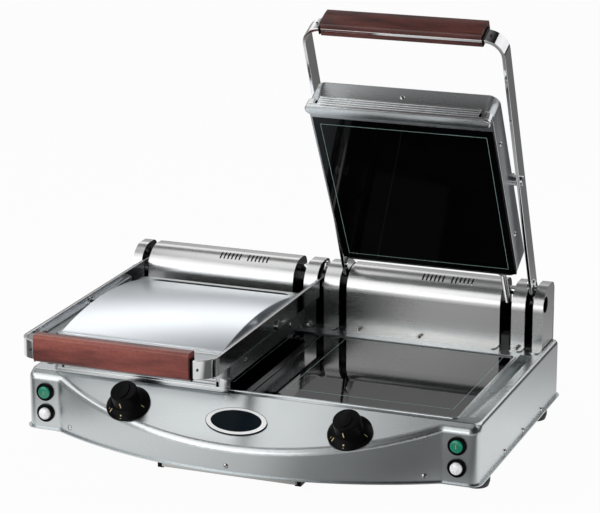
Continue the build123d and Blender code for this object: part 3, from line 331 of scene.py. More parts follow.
@dataclass(frozen=True)
class BrushedSteel:
    """Stainless steel with fine straight brushing and faint handling marks.

    Its lean lays a leaning plate flat for the brushing. Side-facing slot walls within that reach of the
    grill's middle take a painted shade of near black, for the shade inside the slots.
    """

    name: str
    tone: Colour = (0.60, 0.60, 0.61)
    roughness: float = 0.27
    grain: Grain = Grain.ACROSS
    lean: float = 0.0
    marks: float = 0.010
    shaded_slot_reach: float = 0.0
    slot_painted_shade: Colour = (0.006, 0.006, 0.006)

    def lines(self, graph: Surface, grain: Grain) -> Socket:
        """Streaks of the brushing.

        Args:
            graph: The material being made.
            grain: Direction of the streaks.

        Returns:
            The streak value.
        """
        along, fine = 12.0, 2400.0
        scale = (along, fine, fine) if grain is Grain.ACROSS else (fine, along, fine)
        return graph.noise(graph.place(scale, self.lean), 1.0, 3.0, 0.5)

    def slot_shade_mask(self, graph: Surface) -> Socket:
        """One on the end walls inside the arm slots, where the painted shade of near black goes, zero
        elsewhere.

        Args:
            graph: The material being made.

        Returns:
            The mask.
        """
        offset = graph.math("ABSOLUTE", graph.part(graph.place(), "X"))
        within = graph.span(offset, 1.0, 0.0, self.shaded_slot_reach, self.shaded_slot_reach + 0.001)
        return graph.math("MULTIPLY", graph.span(graph.sideways(), 0.0, 1.0, start=0.88, end=0.92), within)

    def make(self) -> bpy.types.Material:
        """Build the material.

        Returns:
            The material.
        """
        graph = Surface(self.name)
        if self.grain is Grain.FOLDED:
            end_face = graph.span(graph.sideways(), 0.0, 1.0, start=0.75, end=0.85)
            streaks = graph.blend(end_face, self.lines(graph, Grain.ACROSS), self.lines(graph, Grain.DEPTH))
        else:
            streaks = self.lines(graph, self.grain)
        dark = tuple(c * (1 - self.marks) for c in self.tone)
        light = tuple(min(1.0, c * (1 + self.marks)) for c in self.tone)
        colour = graph.ramp(streaks, [(0.28, dark), (0.5, self.tone), (0.72, light)])
        # Painted shade: the slot end walls turn near black, standing in for the shade inside the slots.
        if self.shaded_slot_reach:
            colour = graph.tint(self.slot_shade_mask(graph), colour, self.slot_painted_shade)
        broad = graph.noise(graph.place(), 9.0, 3.0)
        patches = graph.span(broad, self.roughness - 0.02, self.roughness + 0.02, 0.3, 0.7)
        rough = graph.math("ADD", graph.span(streaks, -0.006, 0.006, 0.3, 0.7), patches)
        graph.set(Metallic=1.0, Base_Color=colour, Roughness=rough)
        return graph.material


@dataclass(frozen=True)
class BrightMetal:
    """Polished or plated metal with faint smears."""

    name: str
    tone: Colour = (0.72, 0.72, 0.73)
    roughness: float = 0.07
    smear_tone: float = 0.92
    smear_range: tuple[float, float] = (0.7, 1.5)

    def make(self) -> bpy.types.Material:
        """Build the material.

        Returns:
            The material.
        """
        graph = Surface(self.name)
        smear = graph.noise(graph.place(), 35.0, 5.0)
        dim = tuple(c * self.smear_tone for c in self.tone)
        low, high = (self.roughness * share for share in self.smear_range)
        graph.set(Metallic=1.0, Base_Color=graph.ramp(smear, [(0.35, dim), (0.65, self.tone)]),
                  Roughness=graph.span(smear, low, high, 0.3, 0.7))
        return graph.material


@dataclass(frozen=True)
class Moulded:
    """Moulded plastic, rubber or coated sheet with a fine skin."""

    name: str
    tone: Colour
    roughness: float = 0.42
    skin: float = 0.25
    skin_scale: float = 1400.0
    skin_height: float = 0.0001
    gloss: float = 0.5

    def make(self) -> bpy.types.Material:
        """Build the material.

        Returns:
            The material.
        """
        graph = Surface(self.name)
        patch = graph.noise(graph.place(), 28.0, 4.0)
        low = tuple(c * 0.82 for c in self.tone)
        high = tuple(min(1.0, c * 1.18 + 0.002) for c in self.tone)
        rough = graph.span(patch, self.roughness - 0.06, self.roughness + 0.06, 0.3, 0.7)
        graph.set(Base_Color=graph.ramp(patch, [(0.3, low), (0.7, high)]), Roughness=rough,
                  Specular_IOR_Level=self.gloss)
        graph.bump(graph.noise(graph.place(), self.skin_scale, 2.0), self.skin_height, self.skin)
        return graph.material


@dataclass(frozen=True)
class BlackGlass:
    """Black glass-ceramic with a faint haze of wiping."""

    name: str
    tone: Colour = (0.0008, 0.0008, 0.0010)
    haze_tone: Colour = (0.0022, 0.0022, 0.0025)
    refraction: float = 1.42

    def make(self) -> bpy.types.Material:
        """Build the material.

        Returns:
            The material.
        """
        graph = Surface(self.name)
        haze = graph.noise(graph.place(), 14.0, 6.0, 0.7)
        graph.set(Base_Color=graph.ramp(haze, [(0.35, self.tone), (0.7, self.haze_tone)]),
                  Roughness=graph.span(haze, 0.02, 0.06, 0.35, 0.75), IOR=self.refraction)
        return graph.material


@dataclass(frozen=True)
class OiledWood:
    """Dense reddish hardwood whose dark figure runs along the grip."""

    name: str
    lean: float = 0.0
    # Painted shade: a factor below one darkens the whole wood, for a grip turned away from the lamps.
    painted_shade_factor: float = 1.0
    pore_share: float = 0.55
    pore_depth: float = 0.00012

    def make(self) -> bpy.types.Material:
        """Build the material.

        Returns:
            The material.
        """
        graph = Surface(self.name)
        flow = graph.noise(graph.place((15, 85, 85), self.lean), 1.0, 6.0, 0.65)
        pores = graph.noise(graph.place((230, 1500, 1500), self.lean), 1.0, 3.0, 0.7)
        bands = graph.noise(graph.place((3, 34, 34), self.lean), 1.0, 3.0, 0.55)
        figure = graph.blend(graph.span(bands, 0.25, 0.75), flow, bands)
        stops = [(0.30, (0.022, 0.004, 0.003)), (0.43, (0.090, 0.014, 0.010)),
                 (0.53, (0.200, 0.037, 0.026)), (0.68, (0.330, 0.082, 0.055))]
        colour = graph.ramp(figure, [(at, tuple(c * self.painted_shade_factor for c in tone)) for at, tone in stops])
        holes = graph.ramp(pores, [(0.36, (0.35, 0.25, 0.22)), (0.50, (1, 1, 1))])
        graph.set(Base_Color=graph.tint(self.pore_share, colour, holes, "MULTIPLY"),
                  Roughness=graph.span(pores, 0.50, 0.33, 0.35, 0.6), Coat_Weight=0.35, Coat_Roughness=0.18,
                  Specular_IOR_Level=0.3)
        graph.bump(pores, self.pore_depth, 0.5)
        return graph.material


@dataclass(frozen=True)
class Lens:
    """Tinted or clear plastic lens over a reflector; its glow is a painted glow that brightens the lens,
    with no lamp lit behind it.
    """

    name: str
    tone: Colour
    glow: float = 0.0

    def make(self) -> bpy.types.Material:
        """Build the material.

        Returns:
            The material.
        """
        graph = Surface(self.name)
        cells = graph.noise(graph.place(), 260.0, 2.0)
        low = tuple(c * 0.7 for c in self.tone)
        graph.set(Base_Color=graph.ramp(cells, [(0.35, low), (0.6, self.tone)]),
                  Roughness=graph.span(cells, 0.10, 0.2, 0.3, 0.7), Coat_Weight=0.3, Coat_Roughness=0.04,
                  Emission_Color=self.tone, Emission_Strength=self.glow)
        return graph.material


class Finishes:
    """Every finish of the grill, made once and shared."""

    def __init__(self) -> None:
        """Make the materials."""
        plate_leans = {Side.LEFT: 0.0, Side.RIGHT: radians(LAYOUT.open_angle - LAYOUT.open_tilt)}
        # Painted light: the lid sides take a darker copy of the steel as painted shade, and the lid tops a
        # lighter, bluer copy as painted sheen.
        lid_side_painted_shade, lid_top_painted_sheen = (0.49, 0.51, 0.52), (0.84, 0.88, 0.92)
        self.hood = BrushedSteel("hood_steel", (0.57, 0.60, 0.61), 0.28, Grain.FOLDED).make()
        # The housing covers' slot end walls take the painted shade out to 0.29 m from the grill's middle.
        self.covers = BrushedSteel("housing_steel", (0.60, 0.605, 0.60), 0.27, Grain.FOLDED,
                                   shaded_slot_reach=0.29).make()
        self.lid_sides = {
            side: BrushedSteel(f"lid_steel_{side.word}", lid_side_painted_shade, 0.28, Grain.FOLDED, lean).make()
            for side, lean in plate_leans.items()
        }
        self.lid_tops = {
            side: BrushedSteel(f"lid_cover_{side.word}", lid_top_painted_sheen, 0.30, lean=lean, marks=0.02).make()
            for side, lean in plate_leans.items()
        }
        self.bright = BrightMetal("bright_flat_bar").make()
        self.rib_steel = BrushedSteel("pressed_rib_steel", (0.66, 0.68, 0.69), 0.25,
                                      lean=plate_leans[Side.RIGHT]).make()
        self.screw = BrightMetal("screw_steel", (0.66, 0.66, 0.66), 0.2).make()
        self.zinc = BrushedSteel("zinc_sheet", (0.50, 0.50, 0.48), 0.42).make()
        self.glass = BlackGlass("black_glass_ceramic").make()
        self.wood = {
            Side.LEFT: OiledWood("grip_wood_left").make(),
            # The open right grip is a darker copy of the wood: painted shade for its faces turned up, away
            # from the front lamps.
            Side.RIGHT: OiledWood("grip_wood_right", radians(LAYOUT.open_angle), 0.42).make(),
        }
        self.plastic = Moulded("black_plastic", (0.0018, 0.0018, 0.0020), 0.30, 0.03, gloss=0.06).make()
        self.rubber = Moulded("black_rubber", (0.010, 0.010, 0.010), 0.62, 0.3).make()
        self.coated = Moulded("black_coated_sheet", (0.014, 0.014, 0.015), 0.45, 0.2, 700.0).make()
        self.rod = Moulded("oxidised_rod", (0.10, 0.09, 0.085), 0.55, 0.3).make()
        # Painted glow: the green and clear lenses emit a little light to read brighter, though no lamp
        # lights them.
        self.green = Lens("green_lens", (0.004, 0.20, 0.12), 0.22).make()
        self.clear = Lens("clear_lens", (0.92, 0.93, 0.94), 0.10).make()
        self.lamp_core = Lens("lamp_core", (0.55, 0.53, 0.50)).make()
        self.orange = Moulded("orange_mark", (0.75, 0.20, 0.03), 0.4).make()
        self.cream = Moulded("cream_print", (0.60, 0.50, 0.26), 0.5).make()
        self.print_line = Moulded("glass_print", (0.34, 0.50, 0.47), 0.5).make()
        self.badge_face = Moulded("badge_enamel", (0.0006, 0.005, 0.009), 0.35, 0.03, gloss=0.06).make()
        self.badge_rim = Moulded("badge_white", (0.95, 0.96, 0.97), 0.35, 0.05, gloss=0.2).make()

    def for_node(self, name: str) -> bpy.types.Material:
        """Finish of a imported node.

        Args:
            name: Name of the node.

        Returns:
            Its material.
        """
        side = Side.RIGHT if name.endswith("_right") else Side.LEFT
        table: list[tuple[tuple[str, ...], bpy.types.Material]] = [
            (("base_shell", "bottom_plate"), self.hood),
            (("cover_",), self.covers),
            (("lid_body",), self.lid_sides[side]),
            (("lid_cover",), self.lid_tops[side]),
            (("lid_bar", "levers", "conduit", "hinge_shaft", "spindle"), self.bright),
            (("pivot_pins", "lid_screws", "shell_screws"), self.screw),
            (("glass_lower", "lid_glass"), self.glass),
            (("lid_grip",), self.wood[side]),
            (("knob", "switch_housings", "cord_gland", "tray_runners"), self.plastic),
            (("feet", "glass_seal"), self.rubber),
            (("rear_frame", "hinge_bushes", "lid_spring"), self.coated),
            (("heater_coil", "lid_coil"), self.rod),
            (("button",), self.green),
            (("lamps",), self.clear),
            (("badge",), self.badge_face),
        ]
        for prefixes, material in table:
            if name.startswith(prefixes):
                return material
        return self.zinc


class Piece:
    """A new piece built with bmesh and handed over to a body of the solids."""

    def __init__(self, name: str) -> None:
        """Start an empty piece under its name."""
        self.name = name
        self.mesh = bmesh.new()

    def turned(self, profile: Outline, steps: int) -> Verts:
        """Turn a profile round Z into a closed form.

        Args:
            profile: Radius and height of each point, from the axis and back to it.
            steps: Steps of the full turn.

        Returns:
            The new vertices.
        """
        before = set(self.mesh.verts)
        points = [self.mesh.verts.new((r, 0, z)) for r, z in profile]
        edges = [self.mesh.edges.new(pair) for pair in zip(points, points[1:])]
        bmesh.ops.spin(self.mesh, geom=points + edges, cent=(0, 0, 0), axis=(0, 0, 1), dvec=(0, 0, 0),
                       angle=2 * pi, steps=steps, use_merge=True, use_duplicate=False)
        made = [v for v in self.mesh.verts if v not in before]
        bmesh.ops.remove_doubles(self.mesh, verts=made, dist=1e-6)
        return [v for v in self.mesh.verts if v not in before]

    def bar(self, size: tuple[float, float, float], place: Matrix, edge: float) -> None:
        """Add a small bar with softened edges.

        Args:
            size: Its length, width and height.
            place: Where its centre goes.
            edge: Radius of its edges.
        """
        made = bmesh.ops.create_cube(self.mesh, size=1.0)["verts"]
        bmesh.ops.scale(self.mesh, vec=size, verts=made)
        edges = list({e for v in made for e in v.link_edges})
        faces = self.soften(edges, edge, 3)
        whole = {v for v in made if v.is_valid} | {v for f in faces for v in f.verts}
        self.move(place, self.grow(whole))

    def soften(self, edges: list[bmesh.types.BMEdge], radius: float, steps: int) -> list[bmesh.types.BMFace]:
        """Round some edges by a radius in a few steps, and return the faces of the roundings."""
        return bmesh.ops.bevel(self.mesh, geom=edges, offset=radius, offset_type="OFFSET", segments=steps,
                               profile=0.5, affect="EDGES", material=-1)["faces"]

    def disc(self, size: tuple[float, float], height: float, steps: int) -> tuple[Verts, Verts]:
        """Raise an oval disc off the plane of the origin.

        Args:
            size: Its width and depth.
            height: Its height.
            steps: Corners of its outline.

        Returns:
            The vertices of its foot and those of its top.
        """
        foot = bmesh.ops.create_circle(self.mesh, cap_ends=True, segments=steps, radius=0.5)["verts"]
        bmesh.ops.scale(self.mesh, vec=(*size, 1), verts=foot)
        faces = list({f for v in foot for f in v.link_faces})
        rise = bmesh.ops.extrude_face_region(self.mesh, geom=faces)["geom"]
        top = [v for v in rise if isinstance(v, bmesh.types.BMVert)]
        bmesh.ops.translate(self.mesh, vec=(0, 0, height), verts=top)
        return foot, top

    def grow(self, seeds: Verts | set[bmesh.types.BMVert]) -> Verts:
        """Every vertex joined to the seeds.

        Args:
            seeds: Vertices to start from.

        Returns:
            The whole island.
        """
        island = set(seeds)
        front = list(seeds)
        while front:
            vert = front.pop()
            for link in vert.link_edges:
                other = link.other_vert(vert)
                if other not in island:
                    island.add(other)
                    front.append(other)
        return list(island)

    def move(self, place: Matrix, verts: Verts | None = None) -> None:
        """Carry some vertices, or the whole piece, through a matrix."""
        bmesh.ops.transform(self.mesh, matrix=place, verts=verts or self.mesh.verts[:])

    def finish(self, body: str, materials: list[bpy.types.Material],
               sharp: float = 32.0) -> bpy.types.Object:
        """Close the piece, shade it and let it ride on a body.

        Args:
            body: Body that carries it.
            materials: Its materials, in the order of its faces' indices.
            sharp: Angle in degrees past which an edge stays crisp.

        Returns:
            The finished object.
        """
        bmesh.ops.translate(self.mesh, vec=(0, LAYOUT.footprint_shift, 0), verts=self.mesh.verts[:])
        bmesh.ops.remove_doubles(self.mesh, verts=self.mesh.verts[:], dist=1e-6)
        bmesh.ops.recalc_face_normals(self.mesh, faces=self.mesh.faces[:])
        for face in self.mesh.faces:
            face.smooth = True
        for edge in self.mesh.edges:
            if len(edge.link_faces) == 2 and edge.calc_face_angle(0.0) > radians(sharp):
                edge.smooth = False
        data = bpy.data.meshes.new(self.name)
        self.mesh.to_mesh(data)
        self.mesh.free()
        for material in materials:
            data.materials.append(material)
        made = linked(self.name, data)
        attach(made, body)
        LOG.info("%s rides on %s with %d faces", self.name, body, len(data.polygons))
        return made


@dataclass
class Dressing:
    """Pieces of one kind, made in the grill's finishes."""

    finishes: Finishes


@dataclass
class GlassPrints(Dressing):
    """Thin printed frames on the four glass plates."""

    width: float = 0.2213
    depth: float = 0.2159
    line: float = 0.00045
    lift: float = 0.00012
    thickness: float = 0.000096
    lower_x: float = 0.1468
    lower_y: float = -0.03265
    upper_width: float = 0.2214
    upper_depth: float = 0.229
    upper_y: float = -0.0335

    def outline(self, piece: Piece, width: float, depth: float) -> None:
        """Draw one thin rectangular frame centred on the origin.

        Args:
            piece: The piece it is drawn in.
            width: Its size across.
            depth: Its size from front to rear.
        """
        bmesh.ops.create_grid(piece.mesh, x_segments=1, y_segments=1, size=0.5)
        bmesh.ops.scale(piece.mesh, vec=(width, depth, 1), verts=piece.mesh.verts[:])
        bmesh.ops.inset_region(piece.mesh, faces=piece.mesh.faces[:], thickness=self.line,
                               use_boundary=True, use_even_offset=True)
        middle = min(piece.mesh.faces, key=lambda f: f.calc_center_median().length)
        bmesh.ops.delete(piece.mesh, geom=[middle], context="FACES")
        bmesh.ops.solidify(piece.mesh, geom=piece.mesh.faces[:], thickness=self.thickness)

    def build(self) -> None:
        """Make the four frames."""
        for side in Side:
            low = Piece(f"print_lower_{side.word}")
            self.outline(low, self.width, self.depth)
            spot = Vector((side.value * self.lower_x, self.lower_y, LAYOUT.glass_top + self.lift))
            low.move(Matrix.Translation(spot))
            low.finish("base", [self.finishes.print_line])
            high = Piece(f"print_upper_{side.word}")
            self.outline(high, self.upper_width, self.upper_depth)
            level = LAYOUT.lid_glass_level - self.lift
            high.move(Matrix.Translation((LAYOUT.middle(side), self.upper_y, level)))
            high.move(LAYOUT.plate(side))
            high.finish(f"lid_plate_{side.word}", [self.finishes.print_line])


@dataclass
class LidCovers(Dressing):
    """Thin pressed lid covers, bowed from front to rear and straight across."""

    half_width: float = 0.1135
    front: float = -0.181
    rear: float = 0.073
    foot: float = 0.1515
    lip: float = 0.0012
    crown: float = 0.0145
    rounding: float = 0.00096
    crease: float = 60.0
    steps: int = 40

    def bow(self, piece: Piece) -> None:
        """Sweep the cover's front edge over its bow and close the form down to the lid.

        Args:
            piece: The cover being made.
        """
        half = (self.rear - self.front) / 2
        radius = (half**2 + self.crown**2) / (2 * self.crown)
        level = self.foot + self.lip
        ends = [piece.mesh.verts.new((turn * self.half_width, self.front, level)) for turn in (-1, 1)]
        line = piece.mesh.edges.new(ends)
        centre = (0, self.front + half, level + self.crown - radius)
        bmesh.ops.spin(piece.mesh, geom=[*ends, line], cent=centre, axis=(1, 0, 0), dvec=(0, 0, 0),
                       angle=-2 * asin(half / radius), steps=self.steps, use_duplicate=False)
        bmesh.ops.remove_doubles(piece.mesh, verts=piece.mesh.verts[:], dist=1e-6)
        fall = bmesh.ops.extrude_face_region(piece.mesh, geom=piece.mesh.faces[:])["geom"]
        for vert in fall:
            if isinstance(vert, bmesh.types.BMVert):
                vert.co.z = self.foot
        bmesh.ops.recalc_face_normals(piece.mesh, faces=piece.mesh.faces[:])
        rim = [e for e in piece.mesh.edges if e.calc_face_angle(0.0) > radians(self.crease)
               and min(v.co.z for v in e.verts) > self.foot + self.lip / 2]
        piece.soften(rim, self.rounding, 3)

    def build(self) -> None:
        """Make both covers."""
        for side in Side:
            cover = Piece(f"bowed_cover_{side.word}")
            self.bow(cover)
            cover.move(Matrix.Translation((LAYOUT.middle(side), 0, 0)))
            cover.move(LAYOUT.plate(side))
            made = cover.finish(f"lid_plate_{side.word}", [self.finishes.lid_tops[side]])
            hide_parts(f"lid_cover_{side.word}")


@dataclass
class ControlKnob(Dressing):
    """Thermostat knob: a marked skirt that sweeps up into a straight cap with a ridge."""

    offset: float = 0.1495
    place_y: float = -0.21697
    gap: float = 0.0006
    skirt_radius: float = 0.0285
    rim: float = 0.003
    cap_radius: float = 0.018
    cone_radius: float = 0.0197
    cone_height: float = 0.0098
    height: float = 0.0270
    ridge_rise: float = 0.0016
    ridge_width: float = 0.0155
    ridge_length: float = 0.026
    ridge_sunk: float = 0.0004
    ridge_rounding: float = 0.0012
    small_edge: float = 0.0004
    cap_step: float = 0.0001
    edge: float = 0.0006
    crown_radius: float = 0.0018
    crown_steps: int = 5
    pointer: tuple[float, float, float] = (0.0013, 0.0008, 0.0080)
    pointer_edge: float = 0.0002
    pointer_share: float = 0.66
    print_height: float = 0.0003
    print_lift: float = 0.0001
    print_edge: float = 0.0001
    # Each mark of the scale: its turn in degrees, its share of the way up the skirt, length and width.
    scale: tuple[tuple[float, float, float, float], ...] = (
        (0.0, 0.46, 0.0019, 0.0019),
        (0.0, 0.12, 0.0010, 0.0010),
        (-42.0, 0.50, 0.0056, 0.0011),
        (-54.0, 0.42, 0.0030, 0.0005),
        (78.0, 0.50, 0.0046, 0.0005),
    )

    def profile(self) -> Outline:
        """Outline of the turned body.

        Returns:
            Its points, from the axis at the foot to the axis at the top.
        """
        shoulder, level = self.cap_radius - self.edge, self.height - self.crown_radius
        points = [
            (0.0, 0.0), (self.skirt_radius - self.small_edge, 0.0), (self.skirt_radius, self.small_edge),
            (self.skirt_radius, self.rim - self.edge), (self.skirt_radius - self.edge, self.rim),
            (self.cone_radius, self.cone_height),
            (self.cap_radius + self.small_edge, self.cone_height + self.cap_step),
            (self.cap_radius, self.cone_height + self.edge), (shoulder, level),
        ]
        for step in range(1, self.crown_steps + 1):
            angle = pi / 2 * step / self.crown_steps
            radius = shoulder - self.crown_radius + self.crown_radius * cos(angle)
            points.append((radius, level + self.crown_radius * sin(angle)))
        return [*points, (0.0, self.height)]

    def ridge(self, piece: Piece) -> None:
        """Raise the oval finger ridge on the cap.

        Args:
            piece: The knob being made.
        """
        size = (self.ridge_width, self.ridge_length)
        foot, top = piece.disc(size, self.ridge_rise + self.ridge_sunk, steps=56)
        rim = {e for v in top for e in v.link_edges if all(end in top for end in e.verts)}
        piece.soften(list(rim), self.ridge_rounding, 4)
        island = piece.grow([v for v in foot if v.is_valid])
        piece.move(Matrix.Translation((0, 0, self.height - self.ridge_sunk)), island)

    def marks(self, piece: Piece) -> None:
        """Add the pointer on the cap and the dots and dashes of the skirt's scale.

        Args:
            piece: The piece that holds the print.
        """
        spot = (0, -self.cap_radius - self.print_lift, self.height * self.pointer_share)
        piece.bar(self.pointer, Matrix.Translation(spot), self.pointer_edge)
        run = self.skirt_radius - self.edge - self.cone_radius
        rise = self.cone_height - self.rim
        lean = Matrix.Rotation(atan2(rise, run), 4, "X")
        for turn, share, length, width in self.scale:
            depth = self.cone_radius + run * (1 - share)
            spot = Matrix.Translation((0, -depth, self.rim + rise * share + self.print_lift))
            spin = Matrix.Rotation(radians(turn), 4, "Z") @ spot @ lean
            piece.bar((width, length, self.print_height), spin, self.print_edge)

    def build(self) -> None:
        """Make both knobs with their print."""
        for side in Side:
            place = LAYOUT.on_slope(side.value * self.offset, self.place_y, self.gap)
            body = Piece(f"dial_{side.word}_body")
            body.turned(self.profile(), steps=72)
            self.ridge(body)
            body.move(place)
            made = body.finish(f"dial_{side.word}", [self.finishes.plastic], sharp=40.0)
            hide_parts(f"knob_{side.word}")
            marks = Piece(f"dial_{side.word}_marks")
            self.marks(marks)
            marks.move(place)
            marks.finish(f"dial_{side.word}", [self.finishes.cream])


@dataclass
class FrontSwitches(Dressing):
    """Push buttons with lamp lenses above and signal lamps below, one pair at each end; the lenses carry a
    faint painted glow, with no lamp switched on.
    """

    offset: float = 0.2795
    button_height: float = 0.073
    lamp_height: float = 0.0443
    bezel_face: float = -0.1965
    lens_radius: float = 0.008
    lens_crown: float = 0.0006
    arc_steps: int = 8
    dome_radius: float = 0.00776
    dome_crown: float = 0.0040
    rounding: float = 0.0008
    stand: float = 0.002
    depth: float = 0.008
    mark_size: tuple[float, float, float] = (0.0009, 0.0052, 0.0004)
    mark_lift: float = 0.00065
    mark_edge: float = 0.00015
    core_radius: float = 0.0045
    core_rim: float = 0.0012
    core_shoulder: tuple[float, float] = (0.0026, 0.0034)
    core_height: float = 0.0038

    def facing(self, side: Side, height: float) -> Matrix:
        """Frame on a bezel's face, at a height, whose Z axis points at the operator."""
        spot = Vector((side.value * self.offset, self.bezel_face, height))
        return Matrix.Translation(spot) @ Matrix.Rotation(pi / 2, 4, "X")

    def lens(self, piece: Piece, crown: float, radius: float) -> Verts:
        """Turn a lens with a rounded face.

        Args:
            piece: The piece being made.
            crown: Height of the face above its rim.
            radius: Radius of the lens.

        Returns:
            The lens's vertices.
        """
        rim = self.stand - self.rounding
        points = [(0.0, -self.depth), (radius, -self.depth)]
        for step in range(self.arc_steps):
            angle = pi / 2 * step / self.arc_steps
            points.append((radius * cos(angle), rim + (crown + self.rounding) * sin(angle)))
        return piece.turned([*points, (0.0, self.stand + crown)], steps=48)

    def build(self) -> None:
        """Make the lenses, their marks and the lamps' cores."""
        for side in Side:
            face = self.facing(side, self.button_height)
            button = Piece(f"push_{side.word}_lens")
            self.lens(button, self.lens_crown, self.lens_radius)
            button.move(face)
            made = button.finish(f"push_{side.word}", [self.finishes.green], sharp=40.0)
            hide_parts(f"button_{side.word}")
            mark = Piece(f"push_{side.word}_mark")
            mark.bar(self.mark_size, Matrix.Translation((0, 0, self.stand + self.mark_lift)), self.mark_edge)
            mark.move(face)
            mark.finish(f"push_{side.word}", [self.finishes.orange])
        domes = Piece("lamp_domes")
        cores = Piece("lamp_cores")
        core = [(0.0, 0.0), (self.core_radius, 0.0), (self.core_radius, self.core_rim), self.core_shoulder,
                (0.0, self.core_height)]
        for side in Side:
            face = self.facing(side, self.lamp_height)
            domes.move(face, self.lens(domes, self.dome_crown, self.dome_radius))
            cores.move(face, cores.turned(core, steps=32))
        made = domes.finish("base", [self.finishes.clear], sharp=40.0)
        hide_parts("lamps")
        cores.finish("base", [self.finishes.lamp_core])


@dataclass
class OvalBadge(Dressing):
    """Bare oval plate with a white border and a thin dark edge."""

    length: float = 0.082
    width: float = 0.043
    place_y: float = -0.221
    thickness: float = 0.002
    band_level: float = 0.0016
    border: tuple[float, float] = (0.83, 0.80)
    edge: float = 0.0006

    def build(self) -> None:
        """Make the plate with its two bands."""
        plate = Piece("badge_plate")
        plate.disc((self.length, self.width), self.band_level, steps=96)
        lid = max(plate.mesh.faces, key=lambda f: f.calc_center_median().z)
        bmesh.ops.inset_region(plate.mesh, faces=[lid], thickness=self.edge, use_even_offset=True)
        band = bmesh.ops.inset_region(plate.mesh, faces=[lid], thickness=self.edge, use_even_offset=True)
        for face in band["faces"]:
            face.material_index = 1
        for vert in lid.verts:
            vert.co.x *= self.border[0] * self.length / (self.length - 4 * self.edge)
            vert.co.y *= self.border[1] * self.width / (self.width - 4 * self.edge)
        bmesh.ops.translate(plate.mesh, vec=(0, 0, self.thickness - self.band_level), verts=lid.verts[:])
        plate.move(LAYOUT.on_slope(0.0, self.place_y))
        finishes = [self.finishes.badge_face, self.finishes.badge_rim]
        made = plate.finish("base", finishes, sharp=50.0)
        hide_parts("badge")


@dataclass
class ScrewRecessShades(Dressing):
    """Thin near-black crosses on the heads of the pan screws: painted shade standing in for their cross
    recesses.
    """

    blade: float = 0.0034
    width: float = 0.0008
    depth: float = 0.0002
    edge: float = 0.00006
    turn: float = 0.4
    head_height: float = 0.0018
    wall_height: float = 0.029
    wall_places: tuple[float, ...] = (-0.077, 0.005, 0.090)
    apron_height: float = 0.0315
    apron_places: tuple[float, ...] = (-0.241, 0.0, 0.241)
    flange_lift: float = 0.0012
    flange_y: float = 0.113
    flange_places: tuple[float, ...] = (-0.244, -0.093, -0.031, 0.041, 0.1275, 0.264)
    lid_front_height: float = 0.132
    lid_side_height: float = 0.126
    lid_side_offset: float = 0.1225
    lid_side_places: tuple[float, ...] = (-0.128, 0.027)

    def cross(self, piece: Piece, place: Matrix) -> None:
        """Add one cross on a screw's head.

        Args:
            piece: The piece being made.
            place: Frame on the surface that the head stands on.
        """
        # Two crossed near-black bars on the head, painted shade where the recess is.
        for turn in (self.turn, self.turn + pi / 2):
            spin = Matrix.Rotation(turn, 4, "Z") @ Matrix.Translation((0, 0, self.head_height))
            piece.bar((self.blade, self.width, self.depth), place @ spin, self.edge)

    def looking(self, spot: tuple[float, float, float], outward: tuple[float, float, float]) -> Matrix:
        """Frame at a point whose Z axis points outwards."""
        return Matrix.Translation(spot) @ Vector(outward).to_track_quat("Z", "Y").to_matrix().to_4x4()

    def build(self) -> None:
        """Make the crosses of the hood's and the lids' screws."""
        hood = Piece("hood_screw_cross_shades")
        for side in Side:
            for y in self.wall_places:
                spot = (side.value * LAYOUT.base_half, y, self.wall_height)
                self.cross(hood, self.looking(spot, (side.value, 0, 0)))
        radius = LAYOUT.apron_radius
        for x in self.apron_places:
            lean = asin(x / radius)
            y = LAYOUT.panel_face - LAYOUT.apron_bow + radius * (1 - cos(lean))
            self.cross(hood, self.looking((x, y, self.apron_height), (sin(lean), -cos(lean), 0)))
        for x in self.flange_places:
            self.cross(hood, Matrix.Translation((x, self.flange_y, LAYOUT.hood_top + self.flange_lift)))
        hood.finish("base", [self.finishes.coated])
        for side in Side:
            lid = Piece(f"lid_screw_cross_shades_{side.word}")
            middle = LAYOUT.middle(side)
            self.cross(lid, self.looking((middle, LAYOUT.lid_front, self.lid_front_height), (0, -1, 0)))
            for turn in (-1, 1):
                for y in self.lid_side_places:
                    spot = (middle + turn * self.lid_side_offset, y, self.lid_side_height)
                    self.cross(lid, self.looking(spot, (turn, 0, 0)))
            lid.move(LAYOUT.plate(side))
            lid.finish(f"lid_plate_{side.word}", [self.finishes.coated])


